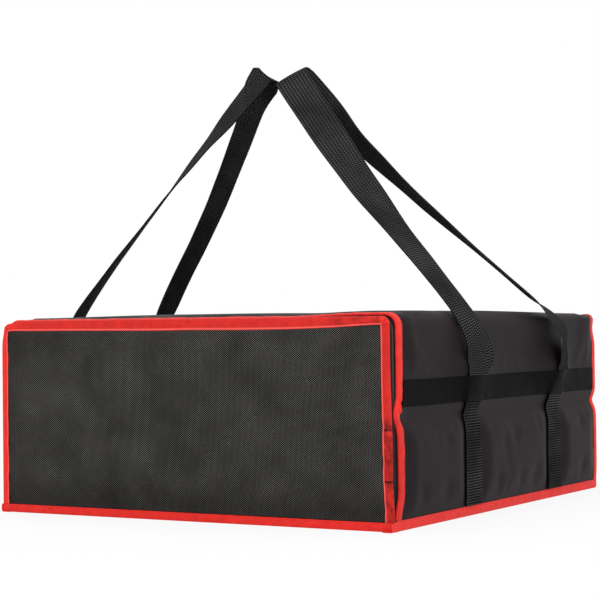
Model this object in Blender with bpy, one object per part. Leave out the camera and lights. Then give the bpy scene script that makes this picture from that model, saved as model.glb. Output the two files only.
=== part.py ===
"""Insulated pizza delivery bag with a zipped front flap and two webbing handles.

Metres, +Z up. The origin is the middle of the bag's underside, -Y is the front flap, +X the right side.
"""
import math

import bmesh
import bpy
from mathutils import Vector

# Size of the filled bag, without its handles
BAG_WIDTH = 0.510
BAG_DEPTH = 0.560
BAG_HEIGHT = 0.220
TOP_CORNER_RADIUS = 0.014
FLAP_CORNER_RADIUS = 0.008
LOWER_CORNER_RADIUS = 0.003
LEAST_RADIUS = 0.0004
CORNER_STEPS = 6

# The insulated wall: coated cloth, foam and lining, each a little apart from the next
CLEARANCE = 0.0003
SHELL_THICKNESS = 0.0006
FOAM_THICKNESS = 0.0050
FOAM_SEWN_THICKNESS = 0.0010
LINING_THICKNESS = 0.0004
FOAM_SETBACK = 0.0025
FOAM_TAPER = 0.015

# Red binding tape folded over the raw edges
BINDING_THICKNESS = 0.0007
BINDING_WIDTH = 0.011
BASE_BINDING_RISE = 0.0110
SILL_RISE = 0.0095

# Moulded zip between the flap and the mouth of the bag
ZIP_GAP = 0.0080
TAPE_THICKNESS = 0.0005
TAPE_SEWN_WIDTH = 0.0100
TOOTH_PITCH = 0.0030
TOOTH_DEPTH = 0.0016
TOOTH_THICKNESS = 0.0015
TOOTH_ROOT_WIDTH = 0.00064
TOOTH_SLACK = 0.00042
TEETH_PER_FACE = 4

# Slider on the zip's left run, at its lower stop
SLIDER_HEIGHT = 0.047
SLIDER_LENGTH = 0.0110
SLIDER_WIDTH = 0.0058
SLIDER_NOSE_WIDTH = 0.0050
SLIDER_PLATE = 0.0012
SLIDER_LIP_WIDTH = 0.0007
SLIDER_ROOM = 0.0007
WEDGE_LENGTH = 0.0034
WEDGE_WIDTH = 0.0018
STOP_LENGTH = 0.0025
BAIL_LENGTH = 0.0060
BAIL_THICKNESS = 0.0020
BAIL_WALL = 0.0010
BAIL_HOLE_RADIUS = 0.0013

# Pull tab that hangs on the slider's bail
PULL_LENGTH = 0.034
PULL_WIDTH = 0.0060
PULL_END_WIDTH = 0.0084
PULL_THICKNESS = 0.0012
PULL_WINDOW_WIDTH = 0.0032
PULL_WINDOW_LENGTH = 0.0045
PULL_GRIP_RADIUS = 0.0016
PULL_STANDOFF = 0.0004

# Webbing: sewn strips up the sides, and the loops above them
WEBBING_WIDTH = 0.040
WEBBING_THICKNESS = 0.0016
RIGHT_FRONT_STRAP_Y = -0.094
RIGHT_REAR_STRAP_Y = 0.136
LEFT_FRONT_STRAP_Y = -0.104
LEFT_REAR_STRAP_Y = 0.108

# Ribbon band sewn across each side over the webbing
BAND_BOTTOM = 0.126
BAND_TOP = 0.154
BAND_THICKNESS = 0.0005
BAND_STEP = 0.004

# Handle loops: how far they stand off the side, where they leave it, and the held-up crest
HANDLE_LEAD = 0.006
HANDLE_BULGE = 0.013
HANDLE_BULGE_RISE = 0.030
BULGE_LEAN_SHARE = 0.28
HANDLE_EDGE_STANDOFF = 0.0050
HANDLE_EDGE_RISE = 0.002
HANDLE_CREST_HEIGHT = 0.512
HANDLE_CREST_Y = -0.080
HANDLE_CREST_X = 0.0135
CREST_BEND_RADIUS = 0.0020
CREST_BEND_LENGTH = 0.0080
CREST_SKEW_LENGTH = 0.060
CREST_SLOPE_SHARES = (0.753, 0.447, 0.480)
HANDLE_STEP = 0.009

# How far each leg leans along the bag by the top edge, and bows halfway to the crest
RIGHT_FRONT_LEAN = -0.022
RIGHT_REAR_LEAN = -0.024
LEFT_FRONT_LEAN = -0.024
LEFT_REAR_LEAN = -0.050
FRONT_BOW = -0.010
RIGHT_REAR_BOW = -0.020
LEFT_REAR_BOW = 0.011

# How far the webbing has left the plane of the bag's side, by share of the way up the leg
LIFT_SHARES = ((0.0, 0.0), (0.11, 0.0), (0.22, 1.0), (1.0, 1.0))

# Turn of the webbing from flat on the side (0) to the crest (1), by share of the way up the leg
RIGHT_FRONT_TURN_SHARES = (
    (0.0, 0.0), (0.03, 0.0), (0.16, 0.22), (0.24, 0.21), (0.42, 0.24), (0.60, 0.45), (0.80, 0.85), (1.0, 1.0))
RIGHT_REAR_TURN_SHARES = (
    (0.0, 0.0), (0.03, 0.0), (0.16, 0.16), (0.35, 0.26), (0.58, 0.35), (0.75, 0.43), (1.0, 1.0))
LEFT_FRONT_TURN_SHARES = (
    (0.0, 0.0), (0.03, 0.0), (0.16, 0.24), (0.35, 0.35), (0.55, 0.44), (0.75, 0.62), (0.86, 0.84), (1.0, 1.0))
LEFT_REAR_TURN_SHARES = (
    (0.0, 0.0), (0.05, 0.0), (0.60, 0.03), (0.82, 0.12), (0.95, 0.56), (1.0, 1.0))

# Places that follow from the sizes above
HALF_WIDTH = BAG_WIDTH / 2
FRONT = -BAG_DEPTH / 2
BACK = BAG_DEPTH / 2
UNDER_BINDING = BINDING_THICKNESS + CLEARANCE
MARGIN = BINDING_WIDTH + CLEARANCE
FOAM_MARGIN = MARGIN + FOAM_SETBACK
FULL_MARGIN = FOAM_MARGIN + FOAM_TAPER
FOAM_DEPTH = SHELL_THICKNESS + CLEARANCE
LINING_EDGE = UNDER_BINDING + SHELL_THICKNESS + CLEARANCE
LINING_SEAM = FOAM_DEPTH + FOAM_SEWN_THICKNESS + CLEARANCE
LINING_FIELD = FOAM_DEPTH + FOAM_THICKNESS + CLEARANCE
WALL = LINING_FIELD + LINING_THICKNESS
FOLD_INNER = LINING_EDGE + LINING_THICKNESS + CLEARANCE
FOLD_DEPTH = FOLD_INNER + BINDING_THICKNESS
TAPE_INSET = FOLD_DEPTH + CLEARANCE
TEETH_INSET = TAPE_INSET + TAPE_THICKNESS / 2
MOUTH = FRONT + FOLD_DEPTH + ZIP_GAP
ZIP_MIDDLE = MOUTH - ZIP_GAP / 2
TEETH_HALF_WIDTH = TOOTH_DEPTH / 2 + TOOTH_SLACK / 2 + TOOTH_ROOT_WIDTH
ABOVE_BASE_BINDING = BASE_BINDING_RISE + CLEARANCE
WRAP_FOOT = LOWER_CORNER_RADIUS
WRAP_REAR = BACK - UNDER_BINDING - SHELL_THICKNESS - LINING_THICKNESS - 2 * CLEARANCE
STRAP_FACE = HALF_WIDTH + CLEARANCE
BAND_OVER_STRAP = STRAP_FACE + WEBBING_THICKNESS + CLEARANCE
HANDLE_PIVOT_X = BAND_OVER_STRAP + BAND_THICKNESS + CLEARANCE
PULL_AXIS_X = -HALF_WIDTH - PULL_STANDOFF - PULL_THICKNESS / 2
SLIDER_BOTTOM = SLIDER_HEIGHT - SLIDER_LENGTH / 2
SLIDER_TOP = SLIDER_HEIGHT + SLIDER_LENGTH / 2
WEDGE_TOP = SLIDER_BOTTOM + CLEARANCE + WEDGE_LENGTH
OVERRUN = 0.002

PIVOTS = {
    "bag_body": (0, 0, 0),
    "front_flap": (0, FRONT, SILL_RISE),
    "zip_slider": (-HALF_WIDTH + TEETH_INSET, ZIP_MIDDLE, SLIDER_HEIGHT),
    "zip_pull": (PULL_AXIS_X, ZIP_MIDDLE, SLIDER_HEIGHT),
    "handle_right": (HANDLE_PIVOT_X, 0, BAND_TOP),
    "handle_left": (-HANDLE_PIVOT_X, 0, BAND_TOP),
}

CLOTH = (0.030, 0.029, 0.031)
FLAP_CLOTH = (0.036, 0.034, 0.033)
FOAM_WHITE = (0.80, 0.80, 0.78)
FOIL = (0.62, 0.63, 0.64)
RED = (0.86, 0.030, 0.020)
WEBBING_BLACK = (0.016, 0.016, 0.017)
BAND_BLACK = (0.012, 0.012, 0.013)
TAPE_BLACK = (0.008, 0.008, 0.009)
ZIP_BLACK = (0.020, 0.020, 0.022)


def clear_scene():
    for thing in list(bpy.data.objects):
        bpy.data.objects.remove(thing, do_unlink=True)


def make_material(name, colour, roughness, metallic=0.0):
    material = bpy.data.materials.new(name)
    material.use_nodes = True
    shader = material.node_tree.nodes["Principled BSDF"]
    shader.inputs["Base Color"].default_value = (*colour, 1.0)
    shader.inputs["Roughness"].default_value = roughness
    shader.inputs["Metallic"].default_value = metallic
    return material


def make_axes():
    """One empty for each moving body, on its joint's axis."""
    axes = {}
    for body, place in PIVOTS.items():
        axis = bpy.data.objects.new(body + "_axis", None)
        axis.location = place
        bpy.context.collection.objects.link(axis)
        axes[body] = axis
    axes["zip_pull"].parent = axes["zip_slider"]
    axes["zip_pull"].location = Vector(PIVOTS["zip_pull"]) - Vector(PIVOTS["zip_slider"])
    return axes


def add_piece(name, bm, body, colour, roughness=0.8, metallic=0.0):
    """Turns a mesh made in world places into a named object whose origin is its body's pivot."""
    bmesh.ops.recalc_face_normals(bm, faces=bm.faces[:])
    bmesh.ops.translate(bm, vec=-Vector(PIVOTS[body]), verts=bm.verts[:])
    mesh = bpy.data.meshes.new(name)
    bm.to_mesh(mesh)
    bm.free()
    mesh.materials.append(make_material(name, colour, roughness, metallic))
    piece = bpy.data.objects.new(name, mesh)
    bpy.context.collection.objects.link(piece)
    piece.parent = AXES[body]
    return piece


def arc(centre_x, centre_z, radius, start, end, steps=CORNER_STEPS):
    points = []
    for step in range(steps + 1):
        angle = start + (end - start) * step / steps
        points.append((centre_x + radius * math.cos(angle), centre_z + radius * math.sin(angle)))
    return points


def arch_outline(inset, foot, radius=TOP_CORNER_RADIUS, tuck=None):
    """Up the right side, over the top and down the left side; tuck draws the feet in behind the base binding."""
    half = HALF_WIDTH - inset
    top = BAG_HEIGHT - inset
    bend = max(radius - inset, LEAST_RADIUS)
    right_leg = [(half, foot)]
    if tuck is not None:
        right_leg = [(half - tuck, foot), (half - tuck, ABOVE_BASE_BINDING), (half, ABOVE_BASE_BINDING + FOAM_SETBACK)]
    right = right_leg + arc(half - bend, top - bend, bend, 0, math.pi / 2)
    left = [(-x, z) for x, z in reversed(right)]
    return right + left


def frame_outline(inset, bottom, top_radius, bottom_radius):
    """A closed rounded rectangle, inset alike on its four sides."""
    half = HALF_WIDTH - inset
    top = BAG_HEIGHT - inset
    low = bottom + inset
    upper = max(top_radius - inset, LEAST_RADIUS)
    lower = max(bottom_radius - inset, LEAST_RADIUS)
    points = arc(half - lower, low + lower, lower, -math.pi / 2, 0)
    points += arc(half - upper, top - upper, upper, 0, math.pi / 2)
    points += arc(-half + upper, top - upper, upper, math.pi / 2, math.pi)
    points += arc(-half + lower, low + lower, lower, math.pi, 1.5 * math.pi)
    return points


def loft(rings, around, section_closed):
    """Skins rings of equal length; the ends that stay open are closed with flat faces."""
    bm = bmesh.new()
    rows = [[bm.verts.new(point) for point in ring] for ring in rings]
    count = len(rows[0])
    pairs = list(zip(rows, rows[1:]))
    if section_closed:
        pairs.append((rows[-1], rows[0]))
    for first, second in pairs:
        for i in range(count if around else count - 1):
            j = (i + 1) % count
            bm.faces.new((first[i], first[j], second[j], second[i]))
    if not section_closed:
        bm.faces.new(rows[0])
        bm.faces.new(list(reversed(rows[-1])))
    elif not around:
        bm.faces.new([row[0] for row in rows])
        bm.faces.new([row[-1] for row in reversed(rows)])
    return bm


def arch_loft(section, foot, radius=TOP_CORNER_RADIUS, tucked=False):
    """Carries a closed section of (y, inset) points over the arch of the bag."""
    rings = []
    for y, inset in section:
        in_field = MOUTH + MARGIN + LEAST_RADIUS < y < BACK - MARGIN - LEAST_RADIUS
        tuck = (UNDER_BINDING if in_field else 0) if tucked else None
        rings.append([(x, y, z) for x, z in arch_outline(inset, foot, radius, tuck)])
    return loft(rings, around=False, section_closed=True)


def panel_loft(outer_face, inward, stations, bottom, top_radius, bottom_radius=LOWER_CORNER_RADIUS):
    """A panel across the bag, from rings of (depth behind its face, inset from its edge)."""
    rings = []
    for depth, inset in stations:
        y = outer_face + inward * depth
        rings.append([(x, y, z) for x, z in frame_outline(inset, bottom, top_radius, bottom_radius)])
    return loft(rings, around=True, section_closed=False)


def prism(section, start, end, axis):
    """Extrudes a closed section of points straight along X or Y."""
    if axis == "Y":
        rings = [[(a, start, b), (a, end, b)] for a, b in section]
    else:
        rings = [[(start, a, b), (end, a, b)] for a, b in section]
    return loft(rings, around=False, section_closed=True)


def box(low, high):
    bm = bmesh.new()
    bmesh.ops.create_cube(bm, size=1)
    for vert in bm.verts:
        vert.co = [(a + b) / 2 + share * (b - a) for a, b, share in zip(low, high, vert.co)]
    return bm


def skin_sections():
    """Depths of the shell and lining at the four margins: edge, binding's end, foam's edge and full foam."""
    shell = (UNDER_BINDING, UNDER_BINDING, 0.0, 0.0)
    lining = (LINING_EDGE, LINING_EDGE, LINING_SEAM, LINING_FIELD)
    return {"shell": (shell, SHELL_THICKNESS), "lining": (lining, LINING_THICKNESS)}


def wrap_skin(depths, thickness):
    """The section of one skin of the wrap, from the mouth to the back."""
    front = [MOUTH + UNDER_BINDING, MOUTH + MARGIN, MOUTH + FOAM_MARGIN, MOUTH + FULL_MARGIN]
    rear = [WRAP_REAR, BACK - MARGIN, BACK - FOAM_MARGIN, BACK - FULL_MARGIN]
    line = list(zip(front, depths)) + list(zip(reversed(rear), reversed(depths)))
    return line + [(y, depth + thickness) for y, depth in reversed(line)]


def wrap_foam():
    front = (MOUTH + FOAM_MARGIN, MOUTH + FULL_MARGIN)
    rear = (BACK - FOAM_MARGIN, BACK - FULL_MARGIN)
    sewn = FOAM_DEPTH + FOAM_SEWN_THICKNESS
    full = FOAM_DEPTH + FOAM_THICKNESS
    return [(front[0], FOAM_DEPTH), (rear[0], FOAM_DEPTH), (rear[0], sewn), (rear[1], full), (front[1], full),
            (front[0], sewn)]


def make_wrap():
    """Left side, top and right side: one continuous quilted sheet in three layers."""
    skins = skin_sections()
    add_piece("wrap_shell", arch_loft(wrap_skin(*skins["shell"]), WRAP_FOOT, tucked=True), "bag_body",
              CLOTH, 0.6)
    add_piece("wrap_foam", arch_loft(wrap_foam(), WRAP_FOOT, tucked=True), "bag_body", FOAM_WHITE, 0.9)
    add_piece("wrap_lining", arch_loft(wrap_skin(*skins["lining"]), WRAP_FOOT, tucked=True), "bag_body",
              FOIL, 0.35, 0.8)


def panel_layers(prefix, outer_face, inward, bottom, top_radius, body, shell_colour):
    """Shell, foam and lining of the flap or the back, thin at the sewn edge and full in the field."""
    margins = (UNDER_BINDING, MARGIN, FOAM_MARGIN, FULL_MARGIN)
    for layer, (depths, thickness) in skin_sections().items():
        outer = list(zip(depths, margins))
        inner = [(depth + thickness, margin) for depth, margin in outer]
        stations = list(reversed(outer)) + inner
        colour = shell_colour if layer == "shell" else FOIL
        add_piece(prefix + "_" + layer, panel_loft(outer_face, inward, stations, bottom, top_radius), body, colour,
                  0.7 if layer == "shell" else 0.35, 0.0 if layer == "shell" else 0.8)
    foam = [(FOAM_DEPTH, FOAM_MARGIN), (FOAM_DEPTH + FOAM_SEWN_THICKNESS, FOAM_MARGIN),
            (FOAM_DEPTH + FOAM_THICKNESS, FULL_MARGIN)]
    add_piece(prefix + "_foam", panel_loft(outer_face, inward, foam, bottom, top_radius), body, FOAM_WHITE, 0.9)


def make_base():
    """Floor of the bag: a shell between the bindings, with foam and lining on it inside the walls."""
    side = HALF_WIDTH - WALL - UNDER_BINDING - CLEARANCE
    front = FRONT + UNDER_BINDING
    foam_top = UNDER_BINDING + FOAM_THICKNESS
    lining_bottom = foam_top + CLEARANCE
    shell_side = HALF_WIDTH - MARGIN
    add_piece("base_shell", box((-shell_side, FRONT + MARGIN, 0), (shell_side, BACK - MARGIN, SHELL_THICKNESS)),
              "bag_body", CLOTH, 0.6)
    add_piece("base_foam", box((-side, front, UNDER_BINDING), (side, WRAP_REAR, foam_top)), "bag_body", FOAM_WHITE,
              0.9)
    add_piece("base_lining", box((-side, front, lining_bottom), (side, WRAP_REAR, lining_bottom + LINING_THICKNESS)),
              "bag_body", FOIL, 0.35, 0.8)


def fold_section(nose, into):
    """Tape folded round an edge: an outer leg, the nose and an inner leg; into is the way the edge runs back."""
    tip = nose + into * BINDING_THICKNESS
    end = nose + into * BINDING_WIDTH
    return [(nose, 0), (end, 0), (end, BINDING_THICKNESS), (tip, BINDING_THICKNESS), (tip, FOLD_INNER),
            (end, FOLD_INNER), (end, FOLD_DEPTH), (nose, FOLD_DEPTH)]


def make_bindings():
    """Red tape on every sewn edge."""
    add_piece("mouth_binding", arch_loft(fold_section(MOUTH, 1), ABOVE_BASE_BINDING), "bag_body", RED, 0.6)

    flap_section = [(FRONT + depth, inset) for inset, depth in fold_section(0, 1)]
    add_piece("flap_binding", arch_loft(flap_section, SILL_RISE + CLEARANCE, FLAP_CORNER_RADIUS), "front_flap", RED,
              0.6)

    corner = [(BACK, 0), (BACK, BINDING_WIDTH), (BACK - BINDING_THICKNESS, BINDING_WIDTH),
              (BACK - BINDING_THICKNESS, BINDING_THICKNESS), (BACK - BINDING_WIDTH, BINDING_THICKNESS),
              (BACK - BINDING_WIDTH, 0)]
    rings = []
    for y, inset in corner:
        outline = frame_outline(inset, 0, TOP_CORNER_RADIUS, LOWER_CORNER_RADIUS)
        rings.append([(x, y, z) for x, z in outline])
    add_piece("back_binding", loft(rings, around=True, section_closed=True), "bag_body", RED, 0.6)

    def edge(outer, into, rise):
        inner = outer + into * BINDING_THICKNESS
        under = outer + into * BINDING_WIDTH
        return [(outer, 0), (outer, rise), (inner, rise), (inner, BINDING_THICKNESS), (under, BINDING_THICKNESS),
                (under, 0)]

    for side, sign in (("left", -1), ("right", 1)):
        section = edge(sign * HALF_WIDTH, -sign, BASE_BINDING_RISE)
        add_piece("base_binding_" + side, prism(section, MOUTH, BACK - MARGIN, "Y"), "bag_body", RED, 0.6)
    add_piece("sill_binding", prism(edge(FRONT, 1, SILL_RISE), -HALF_WIDTH, HALF_WIDTH, "X"), "bag_body", RED, 0.6)


def make_tapes():
    """Woven zip tapes: one lies inside the mouth, the other turns back from the flap into the zip's plane."""
    inner = TAPE_INSET + TAPE_THICKNESS
    body_edge = ZIP_MIDDLE + TEETH_HALF_WIDTH + CLEARANCE
    body_end = MOUTH + TAPE_SEWN_WIDTH
    body_section = [(body_edge, TAPE_INSET), (body_end, TAPE_INSET), (body_end, inner), (body_edge, inner)]
    add_piece("zip_tape_body", arch_loft(body_section, ABOVE_BASE_BINDING), "bag_body", TAPE_BLACK, 0.8)

    seat = FRONT + TAPE_INSET
    flap_edge = ZIP_MIDDLE - TEETH_HALF_WIDTH - CLEARANCE
    sewn_end = TAPE_INSET + TAPE_SEWN_WIDTH
    flap_section = [(seat, TAPE_INSET), (flap_edge, TAPE_INSET), (flap_edge, inner), (seat + TAPE_THICKNESS, inner),
                    (seat + TAPE_THICKNESS, sewn_end), (seat, sewn_end)]
    add_piece("zip_tape_flap", arch_loft(flap_section, ABOVE_BASE_BINDING), "front_flap", TAPE_BLACK, 0.8)


def zip_run_point(distance, lift):
    """A place on the zip's line, measured from its foot on the left side; lift is outwards from the line."""
    half = HALF_WIDTH - TEETH_INSET
    top = BAG_HEIGHT - TEETH_INSET
    bend = TOP_CORNER_RADIUS - TEETH_INSET
    side_run = top - bend - ABOVE_BASE_BINDING
    turn = bend * math.pi / 2
    top_run = 2 * (half - bend)
    if distance <= side_run:
        return -half - lift, ABOVE_BASE_BINDING + distance, False
    distance -= side_run
    if distance <= turn:
        angle = math.pi - distance / bend
        reach = bend + lift
        return -half + bend + reach * math.cos(angle), top - bend + reach * math.sin(angle), True
    distance -= turn
    if distance <= top_run:
        return -half + bend + distance, top + lift, False
    distance -= top_run
    if distance <= turn:
        angle = math.pi / 2 - distance / bend
        reach = bend + lift
        return half - bend + reach * math.cos(angle), top - bend + reach * math.sin(angle), True
    distance -= turn
    return half + lift, top - bend - distance, False


def zip_run_length():
    bend = TOP_CORNER_RADIUS - TEETH_INSET
    side_run = BAG_HEIGHT - TEETH_INSET - bend - ABOVE_BASE_BINDING
    return 2 * side_run + bend * math.pi + 2 * (HALF_WIDTH - TEETH_INSET - bend)


def make_teeth(name, body, way):
    """Half of the chain: a spine with pointed teeth that mesh with the other half, over the whole arch."""
    start = WEDGE_TOP + CLEARANCE - ABOVE_BASE_BINDING
    half_pitch = TOOTH_PITCH / 2
    count = int((zip_run_length() - start) / half_pitch) // 2 * 2
    spine = ZIP_MIDDLE + way * TEETH_HALF_WIDTH
    shift = way * TOOTH_SLACK / 2
    bm = bmesh.new()
    wave = []
    backs = {}
    for k in range(count + 1):
        distance = start + k * half_pitch
        swing = TOOTH_DEPTH / 2 if k % 2 else -TOOTH_DEPTH / 2
        outer_x, outer_z, turning = zip_run_point(distance, TOOTH_THICKNESS / 2)
        inner_x, inner_z, turning = zip_run_point(distance, -TOOTH_THICKNESS / 2)
        y = ZIP_MIDDLE + shift + swing
        wave.append((bm.verts.new((outer_x, y, outer_z)), bm.verts.new((inner_x, y, inner_z))))
        every = 2 if turning else 2 * TEETH_PER_FACE
        if k % every == 0 or k == count:
            backs[k] = (bm.verts.new((outer_x, spine, outer_z)), bm.verts.new((inner_x, spine, inner_z)))
    for first, second in zip(wave, wave[1:]):
        bm.faces.new((first[0], second[0], second[1], first[1]))
    stops = sorted(backs)
    for a, b in zip(stops, stops[1:]):
        bm.faces.new((backs[a][0], backs[b][0], backs[b][1], backs[a][1]))
        for side in (0, 1):
            bm.faces.new([backs[a][side]] + [wave[k][side] for k in range(a, b + 1)] + [backs[b][side]])
    for k in (0, count):
        bm.faces.new((backs[k][0], wave[k][0], wave[k][1], backs[k][1]))
    add_piece(name, bm, body, ZIP_BLACK, 0.35)


def make_stops():
    """Moulded stops on the mouth's tape, which hold the slider on its run."""
    near = ZIP_MIDDLE + TEETH_HALF_WIDTH - TOOTH_ROOT_WIDTH - TOOTH_DEPTH / 2
    far = ZIP_MIDDLE + TEETH_HALF_WIDTH
    outer = HALF_WIDTH - TEETH_INSET + TOOTH_THICKNESS / 2
    inner = outer - TOOTH_THICKNESS
    top = SLIDER_BOTTOM - CLEARANCE
    add_piece("zip_stop_left", box((-outer, near, top - STOP_LENGTH), (-inner, far, top)), "bag_body", ZIP_BLACK, 0.35)


def make_cutter(name, bm, body):
    """A guide that only cuts: never rendered, shown as wires."""
    mesh = bpy.data.meshes.new(name)
    bmesh.ops.recalc_face_normals(bm, faces=bm.faces[:])
    bmesh.ops.translate(bm, vec=-Vector(PIVOTS[body]), verts=bm.verts[:])
    bm.to_mesh(mesh)
    bm.free()
    cutter = bpy.data.objects.new(name, mesh)
    bpy.context.collection.objects.link(cutter)
    cutter.parent = AXES[body]
    cutter.hide_render = True
    cutter.display_type = "WIRE"
    return cutter


def combine(piece, other, operation):
    change = piece.modifiers.new(other.name, "BOOLEAN")
    change.operation = operation
    change.object = other
    change.solver = "EXACT"


def slab(outline, low, high):
    """Extrudes an outline of (y, z) points along X."""
    return loft([[(low, y, z), (high, y, z)] for y, z in outline], around=False, section_closed=True)


def make_slider():
    """Two plates joined by a wedge at the open end, with slots for the tapes and a bail for the pull."""
    line = -HALF_WIDTH + TEETH_INSET
    room = TOOTH_THICKNESS / 2 + SLIDER_ROOM
    outer = line - room - SLIDER_PLATE
    inner = line + room + SLIDER_PLATE
    half = SLIDER_WIDTH / 2
    nose = SLIDER_NOSE_WIDTH / 2
    shoulder = SLIDER_HEIGHT + SLIDER_LENGTH / 4
    outline = [(ZIP_MIDDLE - half, SLIDER_BOTTOM), (ZIP_MIDDLE + half, SLIDER_BOTTOM), (ZIP_MIDDLE + half, shoulder),
               (ZIP_MIDDLE + nose, SLIDER_TOP), (ZIP_MIDDLE - nose, SLIDER_TOP), (ZIP_MIDDLE - half, shoulder)]
    slider = add_piece("zip_slider", slab(outline, outer, inner), "zip_slider", ZIP_BLACK, 0.3, 0.6)

    wedge_low = SLIDER_BOTTOM + CLEARANCE
    wedge_wide = wedge_low + WEDGE_LENGTH / 3
    slot = TAPE_THICKNESS / 2 + CLEARANCE
    for label, reach, depth in (("chain_way", half - SLIDER_LIP_WIDTH, room), ("tape_slot", half + OVERRUN, slot)):
        for side, sign in (("front", -1), ("rear", 1)):
            across = ZIP_MIDDLE + sign * reach
            past = ZIP_MIDDLE - sign * LEAST_RADIUS
            cut = [(across, SLIDER_BOTTOM - OVERRUN), (across, SLIDER_TOP + OVERRUN), (past, SLIDER_TOP + OVERRUN),
                   (past, WEDGE_TOP), (ZIP_MIDDLE, WEDGE_TOP), (ZIP_MIDDLE + sign * WEDGE_WIDTH / 2, wedge_wide),
                   (ZIP_MIDDLE, wedge_low), (past, wedge_low), (past, SLIDER_BOTTOM - OVERRUN)]
            cutter = make_cutter(label + "_" + side, slab(cut, line - depth, line + depth), "zip_slider")
            combine(slider, cutter, "DIFFERENCE")

    bail_outer = PULL_AXIS_X - BAIL_HOLE_RADIUS - BAIL_WALL
    bail_half = BAIL_LENGTH / 2
    bevel = BAIL_WALL
    profile = [(outer + SLIDER_PLATE / 2, -bail_half), (bail_outer + bevel, -bail_half), (bail_outer, bevel - bail_half),
               (bail_outer, bail_half - bevel), (bail_outer + bevel, bail_half), (outer + SLIDER_PLATE / 2, bail_half)]
    section = [(x, SLIDER_HEIGHT + rise) for x, rise in profile]
    bail = prism(section, ZIP_MIDDLE - BAIL_THICKNESS / 2, ZIP_MIDDLE + BAIL_THICKNESS / 2, "Y")
    combine(slider, make_cutter("bail_form", bail, "zip_slider"), "UNION")
    eye = [(x, z) for x, z in arc(PULL_AXIS_X, SLIDER_HEIGHT, BAIL_HOLE_RADIUS, 0, 2 * math.pi, 16)[:-1]]
    hole = prism(eye, ZIP_MIDDLE - BAIL_THICKNESS, ZIP_MIDDLE + BAIL_THICKNESS, "Y")
    combine(slider, make_cutter("bail_eye", hole, "zip_slider"), "DIFFERENCE")


def make_pull():
    """Tab with a window round the bail; the bar above the window turns in the bail."""
    bar = PULL_THICKNESS / 2
    low = PULL_AXIS_X - bar
    high = PULL_AXIS_X + bar
    foot = SLIDER_HEIGHT - PULL_LENGTH
    end = PULL_END_WIDTH / 2
    bend = arc(ZIP_MIDDLE, foot + end, end, 0, -math.pi, 10)
    outline = [(ZIP_MIDDLE - PULL_WIDTH / 2, SLIDER_HEIGHT + bar), (ZIP_MIDDLE + PULL_WIDTH / 2, SLIDER_HEIGHT + bar)]
    outline += [(ZIP_MIDDLE + PULL_WIDTH / 2, SLIDER_HEIGHT - PULL_WINDOW_LENGTH)]
    outline += bend
    outline += [(ZIP_MIDDLE - PULL_WIDTH / 2, SLIDER_HEIGHT - PULL_WINDOW_LENGTH)]
    pull = add_piece("zip_pull", slab(outline, low, high), "zip_pull", ZIP_BLACK, 0.3, 0.6)
    half = PULL_WINDOW_WIDTH / 2
    window = box((low - OVERRUN, ZIP_MIDDLE - half, SLIDER_HEIGHT - PULL_WINDOW_LENGTH),
                 (high + OVERRUN, ZIP_MIDDLE + half, SLIDER_HEIGHT - bar))
    combine(pull, make_cutter("pull_window", window, "zip_pull"), "DIFFERENCE")
    grip = arc(ZIP_MIDDLE, foot + end, PULL_GRIP_RADIUS, 0, 2 * math.pi, 12)[:-1]
    combine(pull, make_cutter("pull_grip", slab(grip, low - OVERRUN, high + OVERRUN), "zip_pull"), "DIFFERENCE")


def twisted_skin(rings):
    """Skins a strip's four edges; both wide faces are split along the same diagonal, so a twist keeps them apart."""
    bm = bmesh.new()
    outer_near, inner_near, inner_far, outer_far = [[bm.verts.new(point) for point in ring] for ring in rings]
    for i in range(len(outer_near) - 1):
        for near, far in ((inner_near, inner_far), (outer_near, outer_far)):
            bm.faces.new((near[i], near[i + 1], far[i + 1]))
            bm.faces.new((near[i], far[i + 1], far[i]))
        for outer, inner in ((outer_near, inner_near), (outer_far, inner_far)):
            bm.faces.new((outer[i], outer[i + 1], inner[i + 1], inner[i]))
    for i in (0, -1):
        bm.faces.new((outer_near[i], inner_near[i], inner_far[i], outer_far[i]))
    return bm


def ribbon(points, across, width, thickness, squareness=None):
    """A flat strip along points; across gives its width's direction, squareness lets a fold run askew."""
    rings = [[], [], [], []]
    for i, point in enumerate(points):
        tangent = (points[min(i + 1, len(points) - 1)] - points[max(i - 1, 0)]).normalized()
        square = squareness[i] if squareness else 1
        side = (across[i] - tangent * (across[i].dot(tangent) * square)).normalized()
        face = side.cross(tangent).normalized()
        for ring, (u, v) in zip(rings, ((1, 1), (1, -1), (-1, -1), (-1, 1))):
            ring.append(point + side * (u * width / 2) + face * (v * thickness / 2))
    return twisted_skin(rings)


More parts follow.
